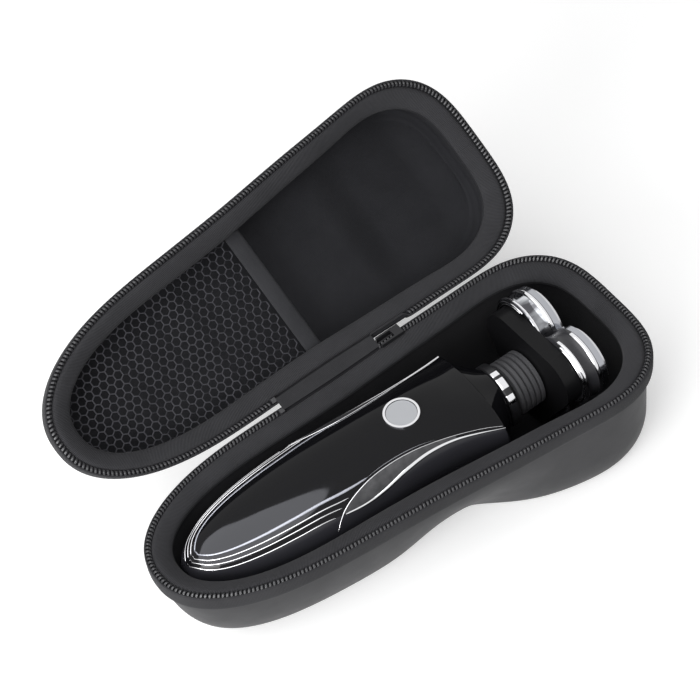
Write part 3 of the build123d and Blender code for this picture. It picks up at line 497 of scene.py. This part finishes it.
band_profile = ((0.05, 1.1), (-0.2, 0.95), (-0.5, 0.92), (-0.7, 1.2), (-0.79, 2.2), (-0.8, 4.2), (-0.79, 6.2),
                (-0.72, 7.4), (-0.5, 7.95), (-0.1, 8.15), (0.6, 8.2))
binding_profile = ((2.05, 2.6), (2.1, 1.8), (2.4, 1.25), (3.0, 0.98), (3.9, 1.02), (5.0, 1.3), (6.2, 1.75),
                   (7.4, 2.3), (8.4, 2.85), (9.1, 3.45), (9.4, 4.1), (9.35, 4.7))
lip_profile = ((9.3, 4.2), (9.5, 4.7), (9.45, 5.2), (9.1, 5.55), (8.3, 5.8), (7.0, 6.0), (5.9, 6.5),
               (5.7, 7.4), (6.0, 8.4))

for half in ("tray", "lid"):
    relief = slider_relief if half == "lid" else 0.0
    seam_rows = profile_rows(half, ((0.15, 6.0), (0.15, 8.3), (0.45, 8.55), (1.15, 8.75)), relief)
    outer = skin_rows(half, 9.0, 0.0)
    shell = grid_mesh(f"{half}_shell_skin", seam_rows + outer + floor_rows(half, outer[-1]), shell_skin)
    finish_piece(shell, half, f"{half}_shell", slot="case_shell")

    band = grid_mesh(f"{half}_rim_band", profile_rows(half, band_profile, relief), band_cloth)
    finish_piece(band, half, f"{half}_zipper_tape", slot="zipper_tape")

    binding = grid_mesh(f"{half}_ribbed_binding", profile_rows(half, binding_profile), ribbed)
    finish_piece(binding, half, f"{half}_binding", slot="ribbed_binding")

inner = skin_rows("tray", 9.0, cavity_wall)
tray_rows = profile_rows("tray", lip_profile) + inner + floor_rows("tray", inner[-1])
finish_piece(grid_mesh("tray_lining", tray_rows, lining), "tray", "tray_liner", slot="lining")


# ---- lid lining: a shallow hollow with a softly dented recess over the shaver's head
def smoothstep(value):
    value = np.clip(value, 0, 1)
    return value * value * (3 - 2 * value)


def recess_share(x, y):
    """How far inside the recess a place of the lid's floor lies, from 0 to 1."""
    start, end, width, radius = recess
    dx = np.abs(x - (start + end) / 2) - (end - start) / 2 + radius
    dy = np.abs(y) - width / 2 + radius
    outside = np.hypot(np.maximum(dx, 0), np.maximum(dy, 0)) + np.minimum(np.maximum(dx, dy), 0) - radius
    return smoothstep((6.0 - outside) / 18.0)


lid_rows = profile_rows("lid", lip_profile)
for depth in (9.5, 11.5, 13.5, 15.0):
    lid_rows += profile_rows("lid", ((6.3 + 0.12 * (depth - 9.0), depth),))
for step in range(1, 6):
    angle = math.pi / 2 * step / 5
    lid_rows += profile_rows("lid", ((floor_inset + floor_fillet * (1 - math.cos(angle)),
                                      lid_floor_depth - floor_fillet + floor_fillet * math.sin(angle)),))
edge_plan = outline(ring_angles, floor_inset + floor_fillet, floor_inset + floor_fillet)
for share in np.linspace(1, 0, 42)[1:]:
    plan = edge_plan * np.array([1, share])
    depth = lid_floor_depth + (recess_floor_depth - lid_floor_depth) * recess_share(plan[:, 0], plan[:, 1])
    depth = depth + 0.35 * np.sin(plan[:, 0] * 0.11 + 1.0) * np.sin(plan[:, 1] * 0.13) * (1 - share ** 4)
    lid_rows.append(place("lid", plan, depth))
lid_inside = grid_mesh("lid_lining", lid_rows, lid_lining)
finish_piece(lid_inside, "lid", "lid_liner", slot="lining")


# ---- zipper teeth: one bent wire turn after another
def tooth_shape():
    """Points and faces of one tooth: a rounded loop that stands up and leans over the rim's edge."""
    rings = []
    path = ((1.85, 2.2), (1.8, 1.2), (1.45, 0.62), (0.85, 0.42), (0.3, 0.62), (0.02, 1.15), (0.0, 2.2))
    wide = (0.30, 0.36, 0.42, 0.46, 0.46, 0.40, 0.30)
    for index, (inset, depth) in enumerate(path):
        before, after = path[max(index - 1, 0)], path[min(index + 1, len(path) - 1)]
        run, rise = after[0] - before[0], after[1] - before[1]
        length = math.hypot(run, rise)
        out = (rise / length, -run / length)
        ring = []
        for corner in range(8):
            angle = 2 * math.pi * corner / 8
            lift = tooth_wire_radius * math.sin(angle)
            ring.append((wide[index] * math.cos(angle), inset - out[0] * lift, depth + out[1] * lift))
        rings.append(ring)
    points = [point for ring in rings for point in ring]
    faces = []
    for ring in range(len(rings) - 1):
        for corner in range(8):
            here, there = ring * 8 + corner, ring * 8 + (corner + 1) % 8
            faces.append((here, there, there + 8, here + 8))
    return np.array(points), faces


tooth_points, tooth_faces = tooth_shape()


def tooth_chain(name, half, gap):
    """A chain of teeth along a half's rim, left out between the two places of gap on the hinge side."""
    count = int(round(ring_length / tooth_pitch))
    angles, _ = even_angles(count)
    nudge = 1e-4
    middle = outline(angles, tooth_middle, tooth_middle)
    ahead = (outline(angles + nudge, tooth_middle, tooth_middle)
             - outline(angles - nudge, tooth_middle, tooth_middle))
    ahead /= np.linalg.norm(ahead, axis=1)[:, None]
    inward = np.stack((-ahead[:, 1], ahead[:, 0]), axis=-1)
    points, faces = [], []
    for index in range(count):
        x, y = middle[index]
        if y > 0 and gap[0] < x < gap[1]:
            continue
        start = len(points)
        inset = tooth_points[:, 1] - tooth_middle
        along = tooth_points[:, 0] + tooth_lean * inset
        plan = middle[index] + along[:, None] * ahead[index] + inset[:, None] * inward[index]
        points.extend(place(half, plan, tooth_points[:, 2]))
        faces.extend(tuple(start + corner for corner in face) for face in tooth_faces)
    return make_mesh(name, points, faces, coil)


finish_piece(tooth_chain("tray_teeth", "tray", (hinge_strip[0] - 2.0, hinge_strip[1])), "tray",
             "tray_zipper_teeth", slot="zipper_teeth")
finish_piece(tooth_chain("lid_teeth", "lid", (hinge_strip[0] - 2.0, slider_zone[1])), "lid",
             "lid_zipper_teeth", slot="zipper_teeth")
for half in ("tray", "lid"):
    tape_profile = ((0.0, 1.9), (0.4, 1.55), (1.0, 1.45), (1.7, 1.55), (2.2, 1.9))
    tape = grid_mesh(f"{half}_coil_tape", profile_rows(half, tape_profile), lining)
    finish_piece(tape, half, slot="zipper_tape")


# ---- net pocket
def tube_ring(points, radius, sides=6):
    """Rings of a thin tube along a line of points, lying flat in the lid's plane."""
    rings = []
    for index, point in enumerate(points):
        before, after = points[max(index - 1, 0)], points[min(index + 1, len(points) - 1)]
        run = np.array(after) - np.array(before)
        run = run / (np.linalg.norm(run) + 1e-9)
        sideways = np.array((-run[1], run[0], 0.0))
        ring = []
        for corner in range(sides):
            angle = 2 * math.pi * corner / sides
            ring.append(np.array(point) + sideways * radius * math.cos(angle)
                        + np.array((0, 0, 1.0)) * radius * math.sin(angle))
        rings.append(ring)
    return rings


def net_sag(x, y):
    """How far the net bellies towards the lid's floor."""
    reach = half_width(x / half_length, net_edge, net_edge, 0.0)
    across = 1 - min(1.0, abs(y) / max(reach, 1.0)) ** 2
    along = (min(1.0, (x + belly_tail) / belly_run)
             * min(1.0, (pocket_mouth - x + belly_past_mouth) / belly_run))
    return net_belly * across * max(0.0, along)


def net_lines():
    """The net's threads: the six sides of each cell, each side drawn once."""
    side = net_pitch / math.sqrt(3)
    row_step = net_pitch * math.sqrt(3) / 2
    corner_turns = [math.radians(60 * corner + 30) for corner in range(6)]
    lines = {}
    for row in range(-16, 17):
        for column in range(-1, 32):
            cx = pocket_mouth - net_pitch * (column + 0.3 + (row % 2) / 2)
            cy = row * row_step
            corners = [(cx + side * math.cos(turn), cy + side * math.sin(turn)) for turn in corner_turns]
            for first, second in zip(corners, corners[1:] + corners[:1]):
                key = (round(first[0] + second[0], 2), round(first[1] + second[1], 2))
                lines[key] = (first, second)
    return lines.values()


def inside_net(x, y):
    u = x / (half_length - net_edge)
    return u > -1 and x < pocket_mouth + 0.6 and abs(y) < half_width(np.array(u), net_edge, net_edge, 0.0)


net_points, net_faces = [], []
for first, second in net_lines():
    if not (inside_net(*first) and inside_net(*second)):
        continue
    middle = ((first[0] + second[0]) / 2, (first[1] + second[1]) / 2)
    line = [(x, y, net_depth + net_sag(x, y)) for x, y in (first, middle, second)]
    start = len(net_points)
    for ring in tube_ring(line, net_thread_radius):
        net_points.extend(ring)
    for ring in range(2):
        for corner in range(6):
            here, there = start + ring * 6 + corner, start + ring * 6 + (corner + 1) % 6
            net_faces.append((here, there, there + 6, here + 6))
net_points = np.array(net_points)
net = make_mesh("honeycomb_net", place("lid", net_points[:, :2], net_points[:, 2]), net_faces, net_thread)
finish_piece(net, "lid", "pocket_net", slot="net")

edge_x = np.linspace(pocket_mouth, pocket_mouth + pocket_edge_width, 12)
edge_rows = []
for x in edge_x:
    reach = half_width(np.array(x / half_length), net_edge, net_edge, 0.0) - 0.2
    y = np.linspace(-reach, reach, 60)
    puff = 0.55 * math.sin(math.pi * (x - pocket_mouth) / pocket_edge_width) ** 0.5
    plan = np.stack((np.full_like(y, x), y), axis=-1)
    edge_rows.append((plan, net_depth - puff, net_depth + elastic_thickness + puff * 0.6))
front = [place("lid", plan, top) for plan, top, _ in edge_rows]
back = [place("lid", plan, bottom) for plan, _, bottom in edge_rows]
pocket_band = grid_mesh("pocket_band", front + back[::-1] + front[:1], elastic_cloth, closed=False)
finish_piece(pocket_band, "lid", "pocket_edge", slot="elastic")


# ---- hinge: a strip of cloth that joins the two rims
places = np.linspace(hinge_strip[0], hinge_strip[1], 48)
rim_edge = half_width(places / half_length, 0.0, 0.0, 0.0)
web_rows = []
for half, inset, depth in (("tray", 1.5, 0.5), ("tray", 0.6, 0.12), ("tray", -0.1, 0.02),
                           ("lid", -0.1, 0.02), ("lid", 0.6, 0.12), ("lid", 1.5, 0.5)):
    web_rows.append(place(half, np.stack((places, rim_edge - inset), axis=-1), depth))
web = grid_mesh("hinge_web", web_rows, band_cloth, closed=False)
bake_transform(web)
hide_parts("tray_hinge_strip", "lid_hinge_strip")


# ---- shaver body: rounded sections strung along X
def smooth_curve(knots, values, places):
    """A smooth curve through points, for one or several columns of values."""
    knots, values, places = (np.asarray(item, float) for item in (knots, values, places))
    slopes = np.gradient(values, knots, axis=0)
    index = np.clip(np.searchsorted(knots, places) - 1, 0, len(knots) - 2)
    step = knots[index + 1] - knots[index]
    t = (places - knots[index]) / step
    if values.ndim > 1:
        t, step = t[:, None], step[:, None]
    return ((2 * t ** 3 - 3 * t ** 2 + 1) * values[index] + (t ** 3 - 2 * t ** 2 + t) * step * slopes[index]
            + (3 * t ** 2 - 2 * t ** 3) * values[index + 1] + (t ** 3 - t ** 2) * step * slopes[index + 1])


station_table = np.array(body_stations)
body_start, body_end = station_table[0, 0], station_table[-1, 0]
station_knots = np.sqrt(station_table[:, 0] - body_start)
edge_table = np.array(cover_edge)
edge_start = edge_table[0, 0]
edge_knots = np.sqrt(edge_table[:, 0] - edge_start)


def section_at(x):
    """Half width, top and underside of the body at places along X."""
    x = np.atleast_1d(np.asarray(x, float))
    return smooth_curve(station_knots, station_table[:, 1:], np.sqrt(np.maximum(x - body_start, 0)))


def edge_at(x):
    """Half width of the front cover in plan."""
    x = np.atleast_1d(np.asarray(x, float))
    return smooth_curve(edge_knots, edge_table[:, 1], np.sqrt(np.maximum(x - edge_start, 0)))


def surface_height(x, y):
    """Height of the body's upper surface over plan points."""
    sizes = section_at(x)
    share = np.minimum(np.abs(y) / sizes[:, 0], 0.9995)
    crown = (1 - share ** body_roundness) ** (1 / body_roundness)
    return tray_depth - widest_drop + (sizes[:, 1] + widest_drop) * crown


def surface_normal(x, y):
    step = 0.05
    slope_x = (surface_height(x + step, y) - surface_height(x - step, y)) / (2 * step)
    slope_y = (surface_height(x, y + step) - surface_height(x, y - step)) / (2 * step)
    normal = np.stack((-slope_x, -slope_y, np.ones_like(x)), axis=-1)
    return normal / np.linalg.norm(normal, axis=1)[:, None]


def section_ring(x, angles, draw=0.0):
    """Points round the body at x. Angle 0 is the +Y side and a right angle is the top."""
    half_wide, top, underside = section_at(x)[0]
    across, up = np.cos(angles), np.sin(angles)
    y = half_wide * np.sign(across) * np.abs(across) ** (2 / body_roundness)
    rise = np.where(up > 0, top + widest_drop, -widest_drop - underside)
    z = rise * np.sign(up) * np.abs(up) ** (2 / body_roundness)
    keep = 1 - draw / half_wide
    return np.stack((np.full_like(y, x), y * keep, tray_depth - widest_drop + z * keep), axis=-1)


def edge_angle(x):
    """The section angle at which the front cover's edge lies."""
    share = float(edge_at(x)[0]) / section_at(x)[0, 0]
    return math.acos(min(1.0, max(0.0, share)) ** (body_roundness / 2))


def body_places(start, count):
    """Places along the body and how far each ring is drawn in, which rounds the neck end."""
    run = np.linspace(math.sqrt(start - body_start), math.sqrt(body_end - 0.7 - body_start), count)
    rings = [(body_start + value ** 2, 0.0) for value in run]
    return rings + [(body_end - 0.4, 0.03), (body_end - 0.15, 0.13), (body_end - 0.03, 0.32), (body_end, 0.6)]


cover_rows = []
for x, draw in body_places(edge_start + 0.02, 150):
    edge = edge_angle(x)
    cover_rows.append(section_ring(x, np.linspace(edge, math.pi - edge, 61), draw))
finish_piece(grid_mesh("front_cover_skin", cover_rows, gloss, closed=False), "shaver", "front_cover",
             slot="gloss_black")

housing_rows = []
for x, draw in body_places(body_start + 0.001, 160):
    edge = edge_angle(x) if x > edge_start else math.pi / 2
    housing_rows.append(section_ring(x, np.linspace(edge, -math.pi - edge, 96), draw))
finish_piece(grid_mesh("rear_housing_skin", housing_rows, housing, closed=False), "shaver", "rear_housing",
             slot="satin_black")


def ribbon(name, line, widths, surface, lift=0.2, sink=0.25, across=7):
    """A thin strip with a rounded top that follows a line of (x, y) points on the body."""
    line = np.asarray(line, float)
    normals = surface_normal(line[:, 0], line[:, 1])
    points = np.column_stack((line, surface_height(line[:, 0], line[:, 1])))
    run = np.gradient(points, axis=0)
    side = np.cross(run, normals)
    side /= np.linalg.norm(side, axis=1)[:, None]
    rows = []
    for share in np.linspace(-1, 1, across):
        height = -sink + (lift + sink) * math.sqrt(1 - abs(share) ** 2.6)
        rows.append(points + side * (np.asarray(widths) / 2 * share)[:, None] + normals * height)
    return grid_mesh(name, np.swapaxes(np.array(rows), 0, 1), surface, closed=False)


def resampled(line, count):
    """A line drawn smoothly through a few (x, y) points."""
    line = np.asarray(line, float)
    walked = np.concatenate(([0], np.cumsum(np.linalg.norm(np.diff(line, axis=0), axis=1))))
    return smooth_curve(walked, line, np.linspace(0, walked[-1], count))


def joined(name, pieces):
    """One object from several, which keeps each piece's finish."""
    for thing in bpy.context.scene.objects:
        thing.select_set(thing in pieces)
    bpy.context.view_layer.objects.active = pieces[0]
    bpy.ops.object.join()
    pieces[0].name = name
    return pieces[0]


def tail_loop(share, end):
    """A line round the tail, between the cover's edge at share 0 and the innermost line at share 1."""
    first = edge_start + 0.35
    tip = first + tip_shift * share
    x = first + np.linspace(0, 1, 130) ** 2 * (end - first)
    y = edge_at(x) * (1 - line_narrowing * share)
    moved = tip + (x - first) * (end - tip) / (end - first)
    near = np.stack((moved, -y), axis=-1)
    far = near[::-1] * np.array([1, -1])
    return np.concatenate((far, near))


loops = []
for share, end, (tip_wide, middle_wide, end_wide) in zip(stripe_steps, stripe_ends, stripe_widths):
    loop = tail_loop(share, end)
    wide = np.interp(loop[:, 0], (-90, -60, end - 9, end - 1.2, end),
                     (tip_wide, middle_wide, middle_wide, end_wide, 0.12))
    loops.append(ribbon("loop", loop, wide, stripe_metal if share == 1.0 else chrome, 0.16))
outer_loop = loops.pop(0)
finish_piece(joined("tail_lines", loops), "shaver", "tail_stripes", slot="chrome")

trims = [outer_loop]
for side in (1, -1):
    x = np.linspace(trim_places[0], trim_places[-1], 110)
    line = np.stack((x, side * edge_at(x)), axis=-1)
    trims.append(ribbon("trim", line, np.interp(x, trim_places, trim_widths), chrome, 0.3))
finish_piece(joined("chrome_trim", trims), "shaver", "side_trim", slot="chrome")

for name, side in (("left", 1), ("right", -1)):
    line = resampled(leaf_line, 120)
    wide = np.interp(line[:, 0], [x for x, _ in leaf_line], leaf_widths)
    rim = ribbon("leaf_rim", line * (1, side), wide, chrome, 0.14)
    inner = resampled(shadow_line, 60)
    groove = ribbon("leaf_groove", inner * (1, side), 0.32 * np.sin(np.linspace(0.15, 2.9, 60)), smoked, 0.07)
    x = np.linspace(-37.5, 17.0, 80)
    low, high = np.interp(x, line[:, 0], line[:, 1]), edge_at(x) - 0.2
    rows = []
    for share in np.linspace(0, 1, 12):
        y = side * (low + (np.maximum(high, low) - low) * share)
        rows.append(np.column_stack((x, y, surface_height(x, y))) + surface_normal(x, y) * 0.05)
    leaf = joined(f"side_leaf_{name}", [grid_mesh("leaf", rows, panel, closed=False), rim, groove])
    finish_piece(leaf, "shaver", f"side_panel_{name}", slot="grip_panel")


# ---- collar and head
def finished_bands(made, surfaces, chosen):
    """Gives each face the finish that its number picks: 0 for the first, 1 and up for those in surfaces."""
    for surface in surfaces:
        made.data.materials.append(surface)
    made.data.polygons.foreach_set("material_index", [int(pick) for pick in chosen])
    made.data.update()


neck_z = tray_depth - neck_drop
collar_start = neck_end + seam
collar_profile = ((0.0, collar_bore), (0.0, collar_shoulder), (0.35, 13.3), (0.7, collar_radius),
                  (3.3, collar_radius), (3.65, 13.3), (collar_length, collar_shoulder),
                  (collar_length, collar_bore))
collar_angles = np.linspace(0, 2 * math.pi, 180, endpoint=False)
collar_rows = [np.stack((np.full_like(collar_angles, collar_start + along), radius * np.cos(collar_angles),
                         neck_z + radius * np.sin(collar_angles)), axis=-1)
               for along, radius in collar_profile]
collar = grid_mesh("collar_ring", collar_rows, satin)
collar_finish = [row in (2, 3, 4) and any(low < 2 * column + 1 < high for low, high in collar_plates)
                 for row in range(len(collar_profile) - 1) for column in range(len(collar_angles))]
finished_bands(collar, (chrome,), collar_finish)
finish_piece(collar, "shaver", "release_collar", slot="collar")

swing_point = np.array([neck_end + seam + collar_length / 2, 0.0, neck_z + head_rise])
head_axis = np.array([math.cos(head_turn), math.sin(head_turn), 0.0])
head_across = np.array([-math.sin(head_turn), math.cos(head_turn), 0.0])


def head_points(along, across, up):
    """Points given along the head's axis, across it and up."""
    along, across, up = np.broadcast_arrays(*(np.asarray(item, float) for item in (along, across, up)))
    return (swing_point + along[..., None] * head_axis + across[..., None] * head_across
            + up[..., None] * np.array([0.0, 0.0, 1.0]))


def clover(angles, inset=0.0):
    """The lobed outline of the head, as the distance from its axis."""
    away = (angles - math.pi / 6 + math.pi / 3) % (2 * math.pi / 3) - math.pi / 3
    side = lobe_offset * np.sin(away)
    return lobe_offset * np.cos(away) + np.sqrt((lobe_radius - inset) ** 2 - side ** 2)


# along the axis, inset and share of the outline's size
frame_profile = ((0.05, 0.6, 0.70), (0.0, 0.6, 0.95), (0.05, 0.5, 1.0), (0.3, 0.1, 1.0), (0.6, 0.0, 1.0),
                 (1.1, 0.0, 1.0), (1.4, 0.15, 1.0), (1.6, 0.55, 1.0), (1.8, 0.75, 1.0), (6.0, 0.75, 1.0),
                 (6.2, 0.5, 1.0), (6.45, 0.1, 1.0), (6.7, 0.0, 1.0), (7.5, 0.0, 1.0), (7.8, 0.2, 1.0),
                 (8.0, 0.6, 1.0), (8.0, 1.4, 1.0))
lobe_angles = np.linspace(0, 2 * math.pi, 300, endpoint=False)
frame_rows = []
for along, inset, share in frame_profile:
    reach = clover(lobe_angles, inset) * share
    across, up = reach * np.cos(lobe_angles), reach * np.sin(lobe_angles)
    frame_rows.append(head_points(frame_start + along, across, up))
head_frame = grid_mesh("head_frame_skin", frame_rows, chrome)

# The far lobe is mottled and the notch dark, which imitates reflections in the photograph.
frame_finish = []
for row in range(len(frame_profile) - 1):
    for angle in np.degrees(lobe_angles):
        far_lobe = angle < notch[0] or angle > far_lobe_start
        waist = row in waist_rows
        if notch[0] < angle < notch[1] or (waist and not far_lobe):
            frame_finish.append(1)
        else:
            frame_finish.append(2 if waist or (far_lobe and row < far_edge_rows) else 0)
finished_bands(head_frame, (holder_grey, painted_reflection_chrome), frame_finish)
finish_piece(head_frame, "head", "head_frame", slot="head_metal")


def wire(points, radius, surface):
    """A thin round wire through points."""
    points = np.asarray(points, float)
    run = np.gradient(points, axis=0)
    run /= np.linalg.norm(run, axis=1)[:, None]
    side = np.cross(run, (0.2, 0.1, 1.0))
    side /= np.linalg.norm(side, axis=1)[:, None]
    rise = np.cross(side, run)
    rings = [points + radius * (math.cos(angle) * side + math.sin(angle) * rise)
             for angle in np.linspace(0, 2 * math.pi, 8, endpoint=False)]
    return grid_mesh("wire", np.swapaxes(np.array(rings), 0, 1), surface)


clips = []
for turn in (0.0, 2 * math.pi / 3, 4 * math.pi / 3):
    for gap, low, high in ((1.0, -30, 34), (2.1, -26, 30)):
        angles = np.radians(np.linspace(low, high, 40)) + math.pi / 6 + turn
        reach = clover(angles, gap)
        arc = head_points(frame_start - clip_stand, reach * np.cos(angles), reach * np.sin(angles))
        clips.append(wire(arc, clip_radius, chrome))
finish_piece(joined("holder_clips", clips), "head", slot="head_metal")

# ---- plain finishes for the CAD pieces that keep their shape
finishes = {
    "tray_zipper_stop": coil, "lid_zipper_stop": coil, "slider_body": black_paint, "slider_pin": black_paint,
    "pull_tab": black_paint, "button_bezel": chrome, "power_button": disc, "neck_socket": gloss,
    "chassis": inner_plastic, "battery": sleeve, "motor": can, "circuit_board": board_green,
    "motor_shaft": steel, "head_stem": inner_plastic, "head_bellows": rubber, "head_base": deep_black,
    "shaving_holder": smoked, "drive_gear": gear_white,
    "cap_left": steel, "cap_right": steel, "cap_lower": steel,
    "cutter_left": steel, "cutter_right": steel, "cutter_lower": steel,
}
for name, surface in finishes.items():
    for material_slot in frame["nodes"][name].material_slots:
        material_slot.material = surface

# ---- floor, light and camera
floor_grey, floor_glow, floor_reach = (0.82, 0.82, 0.82), 0.36, 3000.0
world_light, backdrop_light = 0.3, 1.0


def seen_directly(tree):
    """1 for camera, glossy and transmission rays, and 0 for the rays that light the object."""
    path = tree.nodes.new("ShaderNodeLightPath")
    seen = path.outputs["Is Camera Ray"]
    for ray in ("Is Glossy Ray", "Is Transmission Ray"):
        larger = tree.nodes.new("ShaderNodeMath")
        larger.operation = "MAXIMUM"
        tree.links.new(seen, larger.inputs[0])
        tree.links.new(path.outputs[ray], larger.inputs[1])
        seen = larger.outputs[0]
    return seen


white = bpy.data.materials.new("floor_white")
white.use_nodes = True
tree = white.node_tree
tree.nodes.clear()
diffuse = tree.nodes.new("ShaderNodeBsdfDiffuse")
diffuse.inputs["Color"].default_value = (*floor_grey, 1)
glow = tree.nodes.new("ShaderNodeEmission")
both = tree.nodes.new("ShaderNodeAddShader")
out = tree.nodes.new("ShaderNodeOutputMaterial")
tree.links.new(combine(white, "MULTIPLY", seen_directly(tree), floor_glow), glow.inputs["Strength"])
tree.links.new(diffuse.outputs[0], both.inputs[0])
tree.links.new(glow.outputs[0], both.inputs[1])
tree.links.new(both.outputs[0], out.inputs["Surface"])
floor = make_mesh("floor", [(-floor_reach, -floor_reach, 0), (floor_reach, -floor_reach, 0),
                            (floor_reach, floor_reach, 0), (-floor_reach, floor_reach, 0)],
                  [(0, 1, 2, 3)], white)

world = bpy.data.worlds.new("studio")
bpy.context.scene.world = world
world.use_nodes = True
tree = world.node_tree
background = tree.nodes["Background"]
background.inputs["Color"].default_value = (1, 1, 1, 1)
brightness = tree.nodes.new("ShaderNodeMapRange")
brightness.inputs["To Min"].default_value = world_light
brightness.inputs["To Max"].default_value = backdrop_light
tree.links.new(seen_directly(tree), brightness.inputs["Value"])
tree.links.new(brightness.outputs["Result"], background.inputs["Strength"])


def softbox(name, at, aim, size, power, diffuse=True):
    """An elliptical softbox aimed at a point, or level overhead where no aim is given."""
    light = bpy.data.lights.new(name, "AREA")
    light.shape = "ELLIPSE"
    light.size, light.size_y = (side * MM for side in size)
    light.energy = power
    lamp = bpy.data.objects.new(name, light)
    lamp.location = Vector(at) * MM
    if aim is None:
        lamp.rotation_euler = (0, 0, overhead_turn)
    else:
        lamp.rotation_euler = (Vector(aim) - Vector(at)).to_track_quat("-Z", "Y").to_euler()
    lamp.visible_diffuse = diffuse
    bpy.context.scene.collection.objects.link(lamp)
    return lamp


overhead_at, sheen_at = (-771, -386, 910), (-771, -386, 895)
overhead_size, overhead_turn = (2252, 1623), math.radians(61)
side_at, side_aim, side_size = (-1250, -600, 520), (0, 0, 40), (1000, 800)
overhead_watts, side_watts, sheen_watts = 18.0, 17.0, 50.0
softbox("overhead_box", overhead_at, None, overhead_size, overhead_watts)
softbox("side_box", side_at, side_aim, side_size, side_watts)

# The bright line on the shaver's gloss pieces, which lights no other piece.
sheen_box = softbox("cover_sheen", sheen_at, None, overhead_size, sheen_watts, diffuse=False)
sheen_box.data.color = (0.88, 0.90, 1.0)
glossy_pieces = bpy.data.collections.new("glossy_pieces")
for name in ("front_cover_skin", "rear_housing_skin"):
    glossy_pieces.objects.link(bpy.data.objects[name])
sheen_box.light_linking.receiver_collection = glossy_pieces

view_azimuth, view_elevation, view_roll = math.radians(-26.57), math.radians(50.67), math.radians(-9.48)
view_distance, focal_pixels, image_pixels = 844.4, 2197.2, 700
view_target, sensor_width = np.array([8.8, 41.4, 52.0]), 36.0
toward = np.array([math.sin(view_azimuth) * math.cos(view_elevation),
                   -math.cos(view_azimuth) * math.cos(view_elevation), math.sin(view_elevation)])
level = np.array([math.cos(view_azimuth), math.sin(view_azimuth), 0.0])
upward = np.cross(toward, level)
right = math.cos(view_roll) * level + math.sin(view_roll) * upward
top_side = -math.sin(view_roll) * level + math.cos(view_roll) * upward
spot = (view_target + toward * view_distance) * MM
lens = bpy.data.cameras.new("camera")
lens.sensor_width = sensor_width
lens.lens = focal_pixels * sensor_width / image_pixels
camera = bpy.data.objects.new("camera", lens)
bpy.context.scene.collection.objects.link(camera)
camera.matrix_world = Matrix([(right[i], top_side[i], toward[i], spot[i]) for i in range(3)] + [(0, 0, 0, 1)])
bpy.context.scene.camera = camera
bpy.context.scene.view_settings.view_transform = "Standard"
